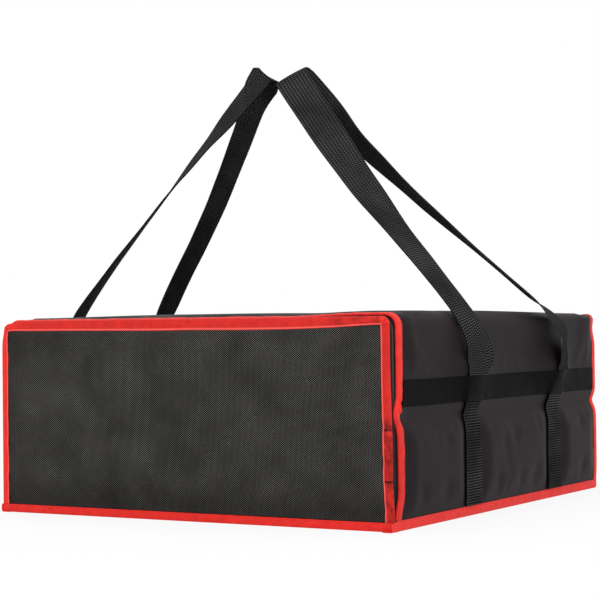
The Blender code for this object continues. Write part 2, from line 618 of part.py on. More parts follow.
def make_straps_and_bands():
    """Webbing sewn up each side, and the ribbon band that holds it at mid height."""
    places = {
        "right": (RIGHT_FRONT_STRAP_Y, RIGHT_REAR_STRAP_Y),
        "left": (LEFT_FRONT_STRAP_Y, LEFT_REAR_STRAP_Y),
    }
    half = WEBBING_WIDTH / 2
    for side, sign in (("left", -1), ("right", 1)):
        near = sign * STRAP_FACE
        far = sign * (STRAP_FACE + WEBBING_THICKNESS)
        for label, y in zip(("front", "rear"), places[side]):
            strap = box((min(near, far), y - half, ABOVE_BASE_BINDING), (max(near, far), y + half, BAND_TOP))
            add_piece("strap_" + side + "_" + label, strap, "bag_body", WEBBING_BLACK, 0.7)
        flat = sign * (STRAP_FACE + BAND_THICKNESS / 2)
        raised = sign * (BAND_OVER_STRAP + BAND_THICKNESS / 2)
        middle = (BAND_BOTTOM + BAND_TOP) / 2
        route = [Vector((flat, MOUTH + MARGIN, middle))]
        for y in places[side]:
            for offset, x in ((-half - BAND_STEP, flat), (-half - CLEARANCE, raised), (half + CLEARANCE, raised),
                              (half + BAND_STEP, flat)):
                route.append(Vector((x, y + offset, middle)))
        route.append(Vector((flat, BACK - MARGIN, middle)))
        up = [Vector((0, 0, 1))] * len(route)
        band = ribbon(route, up, BAND_TOP - BAND_BOTTOM, BAND_THICKNESS)
        add_piece("side_band_" + side, band, "bag_body", BAND_BLACK, 0.5)


def smooth_route(points, spacing):
    """A curve through the points, with a step about every spacing along it."""
    padded = [points[0] * 2 - points[1]] + points + [points[-1] * 2 - points[-2]]
    route = []
    for i in range(1, len(padded) - 2):
        a, b, c, d = padded[i - 1:i + 3]
        steps = max(1, round((c - b).length / spacing))
        for step in range(steps):
            t = step / steps
            spread = (2 * a - 5 * b + 4 * c - d) * t * t + (3 * b - a - 3 * c + d) * t ** 3
            route.append((2 * b + (c - a) * t + spread) / 2)
    return route + [points[-1]]


def read_shares(table, where):
    for (low, first), (high, second) in zip(table, table[1:]):
        if where <= high:
            share = (where - low) / (high - low)
            return first + (second - first) * share * share * (3 - 2 * share)
    return table[-1][1]


def leg_route(sign, foot_y, lean, bow):
    """Centre line of one leg, from the band's top over the bag's edge to the crest."""
    foot_x = STRAP_FACE + WEBBING_THICKNESS / 2
    foot = Vector((sign * foot_x, foot_y, BAND_TOP + CLEARANCE))
    lead = foot + Vector((0, 0, HANDLE_LEAD))
    bulge = Vector((sign * (HALF_WIDTH + HANDLE_BULGE), foot_y + lean * BULGE_LEAN_SHARE,
                    BAND_TOP + HANDLE_BULGE_RISE))
    edge_x = HALF_WIDTH + HANDLE_EDGE_STANDOFF
    edge = Vector((sign * edge_x, foot_y + lean, BAG_HEIGHT + HANDLE_EDGE_RISE))
    crest = Vector((sign * HANDLE_CREST_X, HANDLE_CREST_Y, HANDLE_CREST_HEIGHT))
    middle = (edge + crest) / 2 + Vector((0, bow, 0))
    return [foot] + smooth_route([lead, bulge, edge, middle, crest], HANDLE_STEP)


def leg_turns(route, way, crest_side, table):
    """Direction of the webbing's width: in the plane of the bag's side at the foot, along the crest at the top."""
    lengths = [0.0]
    for a, b in zip(route, route[1:]):
        lengths.append(lengths[-1] + (b - a).length)
    turns = []
    for i, length in enumerate(lengths):
        where = length / lengths[-1]
        rise = route[min(i + 1, len(route) - 1)] - route[max(i - 1, 0)]
        on_side = rise.cross(Vector((way, 0, 0))).normalized()
        lifted = read_shares(LIFT_SHARES, where)
        flat = on_side * (1 - lifted) + Vector((0, way, 0)) * lifted
        share = read_shares(table, where)
        turns.append(flat * (1 - share) + crest_side * share)
    return turns


def crest_fold(crest, up, down):
    """The webbing's bend over the hand: an arc that meets both legs, below the point where they would cross."""
    half_angle = up.angle(down) / 2
    middle = (up + down).normalized()
    sideways = (up - down).normalized()
    centre = crest + middle * (CREST_BEND_RADIUS / math.sin(half_angle))
    swing = math.pi / 2 - half_angle
    return [centre + sideways * x - middle * y for y, x in arc(0, 0, CREST_BEND_RADIUS, swing, -swing)]


def make_handle(name, sign, front, rear):
    """One loop of webbing: up the front leg, folded over the crest and down the rear leg."""
    crest_side = Vector((sign * CREST_SLOPE_SHARES[0], CREST_SLOPE_SHARES[1], CREST_SLOPE_SHARES[2]))
    front_route = leg_route(sign, *front[:3])
    rear_route = leg_route(sign, *rear[:3])
    front_turn = leg_turns(front_route, 1, crest_side, front[3])
    rear_turn = leg_turns(rear_route, -1, crest_side, rear[3])
    crest = front_route[-1]

    def below_fold(route, turns):
        kept = [(p, t) for p, t in zip(route, turns) if (p - crest).length > CREST_BEND_LENGTH * 2]
        square = [min(1, (p - crest).length / CREST_SKEW_LENGTH) for p, t in kept]
        return [p for p, t in kept], [t for p, t in kept], square

    up, up_turn, up_square = below_fold(front_route, front_turn)
    down, down_turn, down_square = below_fold(rear_route, rear_turn)
    fold = crest_fold(crest, (up[-1] - crest).normalized(), (down[-1] - crest).normalized())
    points = up + fold + down[::-1]
    across = up_turn + [crest_side] * len(fold) + down_turn[::-1]
    squareness = up_square + [0] * len(fold) + down_square[::-1]
    add_piece(name, ribbon(points, across, WEBBING_WIDTH, WEBBING_THICKNESS, squareness), name, WEBBING_BLACK, 0.7)


clear_scene()
AXES = make_axes()
make_wrap()
panel_layers("back", BACK, -1, 0, TOP_CORNER_RADIUS, "bag_body", CLOTH)
make_base()
panel_layers("flap", FRONT, 1, SILL_RISE + CLEARANCE, FLAP_CORNER_RADIUS, "front_flap", FLAP_CLOTH)
make_bindings()
make_tapes()
make_teeth("zip_teeth_body", "bag_body", 1)
make_teeth("zip_teeth_flap", "front_flap", -1)
make_stops()
make_slider()
make_pull()
make_straps_and_bands()
make_handle("handle_right", 1,
            (RIGHT_FRONT_STRAP_Y, RIGHT_FRONT_LEAN, FRONT_BOW, RIGHT_FRONT_TURN_SHARES),
            (RIGHT_REAR_STRAP_Y, RIGHT_REAR_LEAN, RIGHT_REAR_BOW, RIGHT_REAR_TURN_SHARES))
make_handle("handle_left", -1,
            (LEFT_FRONT_STRAP_Y, LEFT_FRONT_LEAN, FRONT_BOW, LEFT_FRONT_TURN_SHARES),
            (LEFT_REAR_STRAP_Y, LEFT_REAR_LEAN, LEFT_REAR_BOW, LEFT_REAR_TURN_SHARES))
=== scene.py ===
# %% [markdown]
# # A pizza delivery bag
# The bag is sewn from coated cloth over foam, with a foil lining, red binding tape on every seam and
# webbing handles held up to a point. Its hard parts are already fixed by the frame. This lesson dresses
# them: each soft piece is cut flat at its real size, folded into place and filled out, as the sewing room
# does it.

# %% Load the frame
import math

import bpy
from mathutils import Matrix, Vector, noise


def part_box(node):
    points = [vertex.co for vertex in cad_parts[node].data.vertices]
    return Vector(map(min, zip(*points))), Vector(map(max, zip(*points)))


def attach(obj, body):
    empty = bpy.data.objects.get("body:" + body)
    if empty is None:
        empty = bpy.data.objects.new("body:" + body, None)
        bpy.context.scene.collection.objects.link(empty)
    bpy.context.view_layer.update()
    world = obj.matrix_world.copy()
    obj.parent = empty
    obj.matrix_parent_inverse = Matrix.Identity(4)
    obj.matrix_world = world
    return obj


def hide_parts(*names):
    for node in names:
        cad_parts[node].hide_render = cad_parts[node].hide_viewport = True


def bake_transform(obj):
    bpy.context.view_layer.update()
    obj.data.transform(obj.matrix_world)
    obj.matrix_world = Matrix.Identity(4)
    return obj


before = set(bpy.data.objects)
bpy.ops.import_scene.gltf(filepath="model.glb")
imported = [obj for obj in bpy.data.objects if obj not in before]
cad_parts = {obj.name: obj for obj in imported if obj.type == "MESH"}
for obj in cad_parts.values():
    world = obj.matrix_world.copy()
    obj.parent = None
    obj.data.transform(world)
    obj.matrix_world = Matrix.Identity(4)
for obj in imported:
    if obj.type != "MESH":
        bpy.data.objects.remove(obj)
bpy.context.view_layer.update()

# %% [markdown]
# ## Sizes from the frame
# Every piece has to land on the solid that it stands for, so the bag's edges are read from the frame's
# boxes, and only thicknesses and radii are written again.

# %% Sizes
HALF_WIDTH, BACK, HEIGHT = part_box("back_binding")[1]
mouth_low, mouth_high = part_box("mouth_binding")
flap_low, flap_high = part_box("flap_binding")
FRONT = flap_low.y
MOUTH = mouth_low.y
FLAP_FOOT = flap_low.z
MOUTH_FOOT = mouth_low.z
SILL_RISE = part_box("sill_binding")[1].z
SIDE_TAPE_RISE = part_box("base_binding_right")[1].z
BINDING_WIDTH = mouth_high.y - mouth_low.y
FOLD_DEPTH = flap_high.y - flap_low.y
TOP_RADIUS = 0.014
FLAP_RADIUS = 0.008
FOOT_RADIUS = 0.003
LEAST_RADIUS = 0.0004
CLEARANCE = 0.0003
BINDING_THICKNESS = 0.0007
SHELL_THICKNESS = 0.0006
FOAM_THICKNESS = 0.0050
LINING_THICKNESS = 0.0004
UNDER_BINDING = BINDING_THICKNESS + CLEARANCE
FOAM_DEPTH = SHELL_THICKNESS + CLEARANCE
LINING_EDGE = UNDER_BINDING + SHELL_THICKNESS + CLEARANCE
LINING_FIELD = FOAM_DEPTH + FOAM_THICKNESS + CLEARANCE
print("bag", round(2 * HALF_WIDTH, 3), "x", round(BACK - FRONT, 3), "x", round(HEIGHT, 3), "m, tape",
      round(BINDING_WIDTH, 4), "m wide, folded", round(FOLD_DEPTH, 4), "m deep")

# %% [markdown]
# ## Camera, light and floor
# The camera stands low and looks a little upwards, so the bag's top edges run almost level. A long lens
# keeps the near corner from swelling. The light is a pale surround with three large soft lamps, and
# camera and mirror rays see plain white instead, so the picture's ground is white without more light
# falling on the bag. Two short functions make a shader node and join its inputs in one line, here and in
# every finish, so that a tree of nodes reads like a formula.

# %% Camera and light
CAMERA_PLACE = (1.103, -1.901, 0.210)
CAMERA_AZIMUTH = math.radians(30.53)
CAMERA_ELEVATION = math.radians(-0.85)
CAMERA_ROLL = math.radians(-0.63)
CAMERA_LENS = 108.0
SURROUND = 0.62
FLOOR_SIZE = 12.0
FLOOR_WHITE_SHARE = 0.86
LAMP_TARGET = (0, 0, 0.15)


def add_node(tree, kind, inputs, **settings):
    """A node with its settings and its inputs, each a socket to join or a value."""
    made = tree.nodes.new(kind)
    for key, value in settings.items():
        setattr(made, key, value)
    for key, value in inputs.items():
        if isinstance(value, bpy.types.NodeSocket):
            tree.links.new(value, made.inputs[key])
        else:
            made.inputs[key].default_value = value
    return made


def calc(tree, operation, first, second=0.0, third=0.0, clamp=False):
    inputs = {0: first, 1: second, 2: third}
    return add_node(tree, "ShaderNodeMath", inputs, operation=operation, use_clamp=clamp).outputs[0]


def add_camera():
    bpy.ops.object.camera_add()
    camera = bpy.context.object
    camera.data.lens = CAMERA_LENS
    turn = Matrix.Rotation(CAMERA_AZIMUTH, 4, "Z")
    turn = turn @ Matrix.Rotation(math.pi / 2 - CAMERA_ELEVATION, 4, "X")
    turn = turn @ Matrix.Rotation(CAMERA_ROLL, 4, "Z")
    camera.matrix_world = Matrix.Translation(CAMERA_PLACE) @ turn
    bpy.context.scene.camera = camera


def add_lamp(name, place, size, power):
    bpy.ops.object.light_add(type="AREA", location=place)
    lamp = bpy.context.object
    lamp.name = name
    lamp.data.shape = "DISK"
    lamp.data.size = size
    lamp.data.energy = power
    lamp.rotation_euler = (Vector(LAMP_TARGET) - Vector(place)).to_track_quat("-Z", "Y").to_euler()


def see_white(tree, shader, white, output, strength):
    """Camera, mirror and glass rays see an even white instead of the shader, by the share given."""
    rays = add_node(tree, "ShaderNodeLightPath", {}).outputs
    seen = calc(tree, "ADD", rays["Is Camera Ray"], rays["Is Glossy Ray"], clamp=True)
    seen = calc(tree, "ADD", seen, rays["Is Transmission Ray"], clamp=True)
    share = calc(tree, "MULTIPLY", seen, strength)
    mix = add_node(tree, "ShaderNodeMixShader", {"Fac": share, 1: shader.outputs[0], 2: white.outputs[0]})
    tree.links.new(mix.outputs[0], tree.nodes[output].inputs["Surface"])


bpy.ops.object.select_all(action="DESELECT")
add_camera()
add_lamp("key_lamp", (0.4, -2.6, 1.7), 1.6, 30)
add_lamp("side_lamp", (2.8, -0.6, 1.2), 1.4, 26)
add_lamp("top_lamp", (-0.6, 0.6, 2.6), 1.8, 18)

world = bpy.data.worlds.new("studio")
bpy.context.scene.world = world
world.use_nodes = True
surround = world.node_tree.nodes["Background"]
surround.inputs["Color"].default_value = (SURROUND, SURROUND, SURROUND, 1)
white = add_node(world.node_tree, "ShaderNodeBackground", {"Color": (1, 1, 1, 1)})
see_white(world.node_tree, surround, white, "World Output", 1.0)

bpy.ops.mesh.primitive_plane_add(size=FLOOR_SIZE, location=(0, 0, 0))
floor = bpy.context.object
floor.name = "studio_floor"
paint = bpy.data.materials.new("pale_floor")
paint.use_nodes = True
floor_shader = paint.node_tree.nodes["Principled BSDF"]
floor_shader.inputs["Base Color"].default_value = (0.9, 0.9, 0.9, 1)
floor_shader.inputs["Roughness"].default_value = 0.9
glow = add_node(paint.node_tree, "ShaderNodeEmission", {})
see_white(paint.node_tree, floor_shader, glow, "Material Output", FLOOR_WHITE_SHARE)
floor.data.materials.append(paint)
bpy.context.scene.view_settings.view_transform = "Standard"
print("camera at", CAMERA_PLACE, "lens", CAMERA_LENS)

# %% [markdown]
# ## Cutting flat and folding into place
# Sewn goods start as flat cloth. A grid of the cloth's real size is cut first, with a UV map in metres,
# so that every weave keeps its scale whichever way the cloth is turned later. Then each point is carried
# to its place by a small rule. A lattice or a bend would do it too, but a rule keeps the exact sizes that
# the seams need.

# %% Cutting, laying and finishing
def pick(*pieces):
    """Selects these pieces alone, the first one active."""
    bpy.ops.object.select_all(action="DESELECT")
    for piece in pieces:
        piece.select_set(True)
    bpy.context.view_layer.objects.active = pieces[0]


def cut_cloth(name, length, width, step, across=None):
    """A flat rectangle with one corner at zero; step is the wanted mesh size."""
    along = max(1, round(length / step))
    across = across or max(1, round(width / step))
    bpy.ops.object.select_all(action="DESELECT")
    bpy.ops.mesh.primitive_grid_add(x_subdivisions=along, y_subdivisions=across, size=1, calc_uvs=True)
    piece = bpy.context.object
    piece.name = name
    piece.data.name = name
    bpy.ops.transform.translate(value=(0.5, 0.5, 0))
    bpy.ops.object.transform_apply(location=True, rotation=False, scale=False)
    bpy.ops.transform.resize(value=(length, width, 1), center_override=(0, 0, 0))
    bpy.ops.object.transform_apply(location=True, rotation=False, scale=True)
    for loop in piece.data.uv_layers.active.data:
        loop.uv = (loop.uv[0] * length, loop.uv[1] * width)
    print("cut", name, round(length, 4), "by", round(width, 4), "m")
    return piece


def reshape(piece, rule):
    """Carries each point to rule(its place)."""
    for vert in piece.data.vertices:
        vert.co = rule(vert.co)
    piece.data.update()
    return piece


def lay(piece, place):
    """Carries each point of flat cloth (metres along, metres across) to place(along, across)."""
    return reshape(piece, lambda flat: place(flat.x, flat.y))


def apply_modifier(piece, kind, **settings):
    pick(piece)
    bpy.ops.object.modifier_add(type=kind)
    change = piece.modifiers[-1]
    for key, value in settings.items():
        setattr(change, key, value)
    bpy.ops.object.modifier_apply(modifier=change.name)


def thicken(piece, thickness, offset=-1.0, **settings):
    """Gives a sheet its wall, by default on the side away from its normals."""
    apply_modifier(piece, "SOLIDIFY", thickness=thickness, offset=offset, use_even_offset=False, **settings)


def face_outwards(piece, out, judged=None):
    """Turns the sheet over if its faces look the wrong way. The way out is a vector or a rule for it, and
    judged says which faces to go by, if not all."""
    tally = 0.0
    for face in piece.data.polygons:
        if judged is None or judged(face.center):
            tally += face.normal.dot(Vector(out(face.center) if callable(out) else out))
    if tally < 0:
        pick(piece)
        bpy.ops.object.mode_set(mode="EDIT")
        bpy.ops.mesh.select_all(action="SELECT")
        bpy.ops.mesh.flip_normals()
        bpy.ops.object.mode_set(mode="OBJECT")


def finish(piece, body, slot, material, *nodes, bend=None):
    """Smooth faces, one material, the body it rides on, and the solids it stands for. Given bend, the piece
    is fixed where it stands and rides on no body.
    """
    pick(piece)
    bpy.ops.object.shade_smooth_by_angle(angle=math.radians(50))
    piece.data.materials.clear()
    piece.data.materials.append(material)
    if bend:
        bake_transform(piece)
    else:
        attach(piece, body)
    if nodes:
        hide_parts(*nodes)
    print(piece.name, len(piece.data.polygons), "faces", [round(x, 3) for x in piece.dimensions])


def ramp(value, start, end):
    """0 at start, 1 at end, smooth between; start may be the larger."""
    share = min(1.0, max(0.0, (value - start) / (end - start)))
    return share * share * (3 - 2 * share)


def hill(value, centre, spread):
    return math.exp(-((value - centre) / spread) ** 2)


def ripple(seed, size, *place):
    """Smooth noise from -1 to 1 with bumps of about this size."""
    point = Vector((*place, 0.0, 0.0)[:3]) / size
    return noise.noise(point + Vector((seed * 7.31, seed * 3.17, seed * 1.93)))

# %% [markdown]
# ## The bag's outline
# Side, top and side are one sheet over an arch. The arch is described once, by how far along the sheet a
# point is and how deep below the outer face it lies, so cloth, foam, lining and tape all follow the same
# corners. A bevelled cube could give the outer face, but not five layers that fit each other.

# %% The arch
def arch_length(radius, foot):
    straight = HEIGHT - radius - foot
    return 2 * straight + math.pi * radius + 2 * (HALF_WIDTH - radius)


def arch_point(along, inset, radius, foot):
    """A place on the arch as (x, z): along runs up the right side, over the top and down the left."""
    side = HEIGHT - radius - foot
    turn = math.pi * radius / 2
    top = 2 * (HALF_WIDTH - radius)
    bend = max(radius - inset, LEAST_RADIUS)
    edge = HALF_WIDTH - inset - bend
    crown = HEIGHT - inset - bend
    mirror = 1
    if along > side + turn + top / 2:
        along = 2 * side + 2 * turn + top - along
        mirror = -1
    if along <= side:
        x, z = edge + bend, foot + (crown - foot) * along / side
    elif along <= side + turn:
        angle = (along - side) / radius
        x, z = edge + bend * math.cos(angle), crown + bend * math.sin(angle)
    else:
        share = (along - side - turn) / (top / 2)
        x, z = edge * (1 - share), crown + bend
    return mirror * x, z


FLAP_SIDE = HEIGHT - FLAP_RADIUS - FLAP_FOOT
FLAP_LENGTH = arch_length(FLAP_RADIUS, FLAP_FOOT)
MOUTH_LENGTH = arch_length(TOP_RADIUS, MOUTH_FOOT)
print("arch", round(arch_length(TOP_RADIUS, FOOT_RADIUS), 3), "m long")

# %% [markdown]
# ## The filled form
# A full bag isn't a box. Its top is crowned, its sides pillow between the straps, and an old fold line
# runs round it just under the band, where the bag is folded flat for storage. This is one smooth rule of
# how far a place moves. Every layer is moved by the same rule, so nothing comes apart and no layer pushes
# through the next. At the open corner on the right the mouth's edge is pinched forward at the fold line
# and at the floor.

# %% How a filled bag swells
CROWN = 0.0036
LOWER_PILLOW = 0.0036
UPPER_PILLOW = 0.0022
BACK_PILLOW = 0.0036
CREASE_DEPTH = 0.0042
CREASE_SPREAD = 0.0085
CREASE_HEIGHT = 0.1125
CREASE_CLIMB = 0.0050
SEAM_FADE = 0.034
STRAP_FADE = 0.016
MOUTH_PINCH = 0.0056
MOUTH_BOW = 0.0006
CORNER_PULL = 0.0062
STRAP_LIFTS = (0.0098, 0.0112)
REAR_CINCH = 0.0026
REAR_SQUARENESS = 0.32
MOUTH_STIFFNESS = 0.72
STRAPS = {}
SPANS = {}
for side in ("left", "right"):
    STRAPS[side] = [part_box("strap_" + side + "_" + label) for label in ("front", "rear")]
    SPANS[side] = [((low.y + high.y) / 2, (high.y - low.y) / 2) for low, high in STRAPS[side]]
BAND_LOW, BAND_TOP = [corner.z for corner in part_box("side_band_right")]


def strap_hold(y, side):
    """1 on the sewn webbing, 0 well beside it."""
    hold = 0.0
    for middle, half in SPANS[side]:
        hold = max(hold, ramp(abs(y - middle), half + STRAP_FADE, half - STRAP_FADE / 4))
    return hold


def crease_height(y):
    return CREASE_HEIGHT + CREASE_CLIMB * ramp(y, MOUTH + 0.10, MOUTH)


def side_push(y, z, side):
    """How far the side wall stands out from the straight bag."""
    field = ramp(y, MOUTH + 0.004, MOUTH + SEAM_FADE) * ramp(y, BACK - 0.004, BACK - SEAM_FADE)
    fold = crease_height(y)
    lower = ramp(z, 0.006, 0.034) * ramp(z, fold + 0.002, fold - 0.024)
    pillow = LOWER_PILLOW * lower * (0.25 + 0.75 * field) * (1 - 0.9 * strap_hold(y, side))
    upper = UPPER_PILLOW * ramp(z, BAND_TOP + 0.004, BAND_TOP + 0.034) * field
    bow = MOUTH_BOW * hill(z, 0.062, 0.032) * ramp(y, MOUTH + 0.05, MOUTH) if side == "right" else 0
    lift = 0.0
    for (middle, _), most in zip(SPANS[side], STRAP_LIFTS):
        lift = max(lift, most * hill(y, middle, 0.034) * hill(z, BAND_TOP + 0.003, 0.024))
    shallow = 1 - MOUTH_STIFFNESS * ramp(y, MOUTH + 0.030, MOUTH + 0.006)
    cinch = REAR_CINCH * ramp(y, BACK - 0.017, BACK - 0.009) * ramp(z, 0.183, 0.203)
    return pillow + upper + bow + lift - cinch - CREASE_DEPTH * shallow * hill(z, fold, CREASE_SPREAD)


def mouth_pull(z, side):
    """How far the mouth's edge comes forward."""
    if side == "left":
        return 0.4 * CORNER_PULL * ramp(z, 0.032, 0.012)
    return MOUTH_PINCH * hill(z, 0.1190, 0.0120) + CORNER_PULL * ramp(z, 0.040, 0.010)


def squared_corner(x, y, z):
    """The top corners get squarer towards the back, where the seam stretches them."""
    over = max(0.0, (abs(x) - HALF_WIDTH + TOP_RADIUS) / TOP_RADIUS)
    up = max(0.0, (z - HEIGHT + TOP_RADIUS) / TOP_RADIUS)
    if over * up == 0:
        return x, z
    diagonal = (2 * over * up / (over * over + up * up)) ** 2
    share = REAR_SQUARENESS * diagonal * ramp(y, 0.10, BACK - 0.02)
    return x + math.copysign(share * over * TOP_RADIUS, x), z + share * up * TOP_RADIUS


def filled(place):
    """Where a place on the straight bag body lies when the bag is full."""
    x, y, z = place
    side = "right" if x > 0 else "left"
    outward = math.copysign(ramp(abs(x), HALF_WIDTH - 0.06, HALF_WIDTH - 0.008), x)
    near_top = ramp(z, HEIGHT - 0.05, HEIGHT - 0.008)
    near_back = ramp(y, BACK - 0.04, BACK - 0.006)
    near_mouth = ramp(y, MOUTH + 0.045, MOUTH + 0.006)
    push = side_push(y, z, side) * outward
    shown_side = 0.25 + 0.75 * ramp(x, 0.13, 0.21)
    middle = (1 - near_mouth) * ramp(abs(x), 0.26, 0.05) * 0.6
    crown = CROWN * (1 - 0.8 * ramp(y, -0.08, BACK)) * (shown_side + middle)
    across = (1 - (x / HALF_WIDTH) ** 2) * math.sin(math.pi * min(1, max(0, z / HEIGHT)))
    back = BACK_PILLOW * across * near_back
    forward = mouth_pull(z, side) * near_mouth * abs(outward)
    x, z = squared_corner(x, y, z)
    return Vector((x + push, y + back - forward, z + crown * near_top))



print("side at mid height stands out", round(side_push(0, 0.06, "right") * 1000, 2), "mm")

# %% [markdown]
# ## Finishes
# Up close, each cloth is threads: the flap's coarse basket weave, ribbed webbing, satin ribbon, fine
# tape. A photograph could be wrapped round the pieces, but a pattern made of sine waves on the cloth's
# own UV map stays sharp at any distance. What several cloths share is a node group, built once: woven
# threads, cross ribs, and the uneven shade that handling leaves.

# %% Shared groups
def new_group(name, inputs, outputs):
    group = bpy.data.node_groups.new(name, "ShaderNodeTree")
    for label, kind, value in inputs:
        socket = group.interface.new_socket(name=label, in_out="INPUT", socket_type="NodeSocket" + kind)
        if kind == "Float":
            socket.default_value = value
    for label in outputs:
        group.interface.new_socket(name=label, in_out="OUTPUT", socket_type="NodeSocketFloat")
    return group, group.nodes.new("NodeGroupInput"), group.nodes.new("NodeGroupOutput")


def wave(tree, axis, pitch, shift=0.0):
    """The sine of a position over a pitch, one half turn for each thread."""
    turns = calc(tree, "DIVIDE", axis, pitch)
    return calc(tree, "SINE", calc(tree, "MULTIPLY", calc(tree, "ADD", turns, shift), math.pi))


def weave_group():
    """Threads over and under: Height is a mound for each crossing, Light picks every other one."""
    sockets = (("Cloth", "Vector", 0), ("Warp", "Float", 0.001), ("Weft", "Float", 0.001))
    group, given, made = new_group("woven_threads", sockets, ("Height", "Light"))
    split = add_node(group, "ShaderNodeSeparateXYZ", {0: given.outputs["Cloth"]})
    warp = wave(group, split.outputs["X"], given.outputs["Warp"])
    weft = wave(group, split.outputs["Y"], given.outputs["Weft"])
    cross = calc(group, "MULTIPLY", warp, weft)
    mound = calc(group, "POWER", calc(group, "ABSOLUTE", cross), 0.5)
    group.links.new(mound, made.inputs["Height"])
    group.links.new(calc(group, "MULTIPLY_ADD", cross, 2.2, -0.75, clamp=True), made.inputs["Light"])
    return group


def ribs_group():
    """Webbing: ribs across its length, each a row of short floats that step a little from one to the next."""
    sockets = (("Cloth", "Vector", 0), ("Rib", "Float", 0.0015), ("Float", "Float", 0.0022))
    group, given, made = new_group("cross_ribs", sockets, ("Height", "Light"))
    split = add_node(group, "ShaderNodeSeparateXYZ", {0: given.outputs["Cloth"]})
    column = wave(group, split.outputs["Y"], given.outputs["Float"])
    step = calc(group, "MULTIPLY", calc(group, "MULTIPLY_ADD", column, 3.0, 0.5, clamp=True), 0.22)
    rib = calc(group, "ABSOLUTE", wave(group, split.outputs["X"], given.outputs["Rib"], step))
    rounded = calc(group, "POWER", calc(group, "ABSOLUTE", column), 0.35)
    height = calc(group, "MULTIPLY", rib, rounded)
    group.links.new(height, made.inputs["Height"])
    group.links.new(calc(group, "MULTIPLY_ADD", height, 2.6, -1.5, clamp=True), made.inputs["Light"])
    return group


def handling_group():
    """Uneven shade: broad patches, fine grain and a few specks of lint."""
    sockets = (("Place", "Vector", 0), ("Patch", "Float", 30.0))
    group, given, made = new_group("handling", sockets, ("Patches", "Grain", "Lint"))
    place = given.outputs["Place"]
    patch = add_node(group, "ShaderNodeTexNoise", {"Vector": place, "Scale": given.outputs["Patch"],
                                                   "Detail": 3.0, "Roughness": 0.55})
    grain = add_node(group, "ShaderNodeTexNoise", {"Vector": place, "Scale": 900.0, "Detail": 2.0})
    lint = add_node(group, "ShaderNodeTexVoronoi", {"Vector": place, "Scale": 160.0})
    group.links.new(patch.outputs[0], made.inputs["Patches"])
    group.links.new(grain.outputs[0], made.inputs["Grain"])
    near = calc(group, "LESS_THAN", lint.outputs["Distance"], 0.035)
    dice = add_node(group, "ShaderNodeSeparateColor", {0: lint.outputs["Color"]})
    rare = calc(group, "GREATER_THAN", dice.outputs[0], 0.72)
    group.links.new(calc(group, "MULTIPLY", near, rare), made.inputs["Lint"])
    return group


WEAVE = weave_group()
RIBS = ribs_group()
HANDLING = handling_group()
print("groups:", WEAVE.name, RIBS.name, HANDLING.name)

# %% [markdown]
# ### From groups to materials
# All the textiles are built the same way: a dark and a light thread colour mixed by the weave, shaded by
# the handling patches, with the weave's height as bump. Only the numbers differ, so one function makes
# them all. Foil, foam, plastic and lacquered metal need other surfaces and get their own short functions.

# %% Textiles
ROUGH_SWING = 0.12
LINT_COLOUR = (0.35, 0.34, 0.33, 1)
# The colour and share of a painted highlight along the tape's bead.
BEAD_HIGHLIGHT_COLOUR = (0.95, 0.150, 0.130, 1)
BEAD_HIGHLIGHT_SHARE = 0.75
OVERLAP = (0.0415, 0.0940)
# Where a painted shadow line lies across a fold of the tape.
FOLD_SHADOW_LINE = (-0.0016, -0.0006, 0.0006, 0.0016)
def start_material(name, roughness, specular, metallic=0.0):
    material = bpy.data.materials.new(name)
    material.use_nodes = True
    shader = material.node_tree.nodes["Principled BSDF"]
    shader.inputs["Roughness"].default_value = roughness
    shader.inputs["Specular IOR Level"].default_value = specular
    shader.inputs["Metallic"].default_value = metallic
    return material, material.node_tree, shader


def use_group(tree, group, **inputs):
    return add_node(tree, "ShaderNodeGroup", {key.replace("_", " "): value for key, value in inputs.items()},
                    node_tree=group)


def mix_colour(tree, share, first, second):
    made = add_node(tree, "ShaderNodeMix", {0: share, 6: first, 7: second}, data_type="RGBA")
    return made.outputs[2]


def add_relief(tree, shader, height, distance, strength=1.0):
    relief = add_node(tree, "ShaderNodeBump", {"Height": height, "Distance": distance, "Strength": strength})
    tree.links.new(relief.outputs[0], shader.inputs["Normal"])


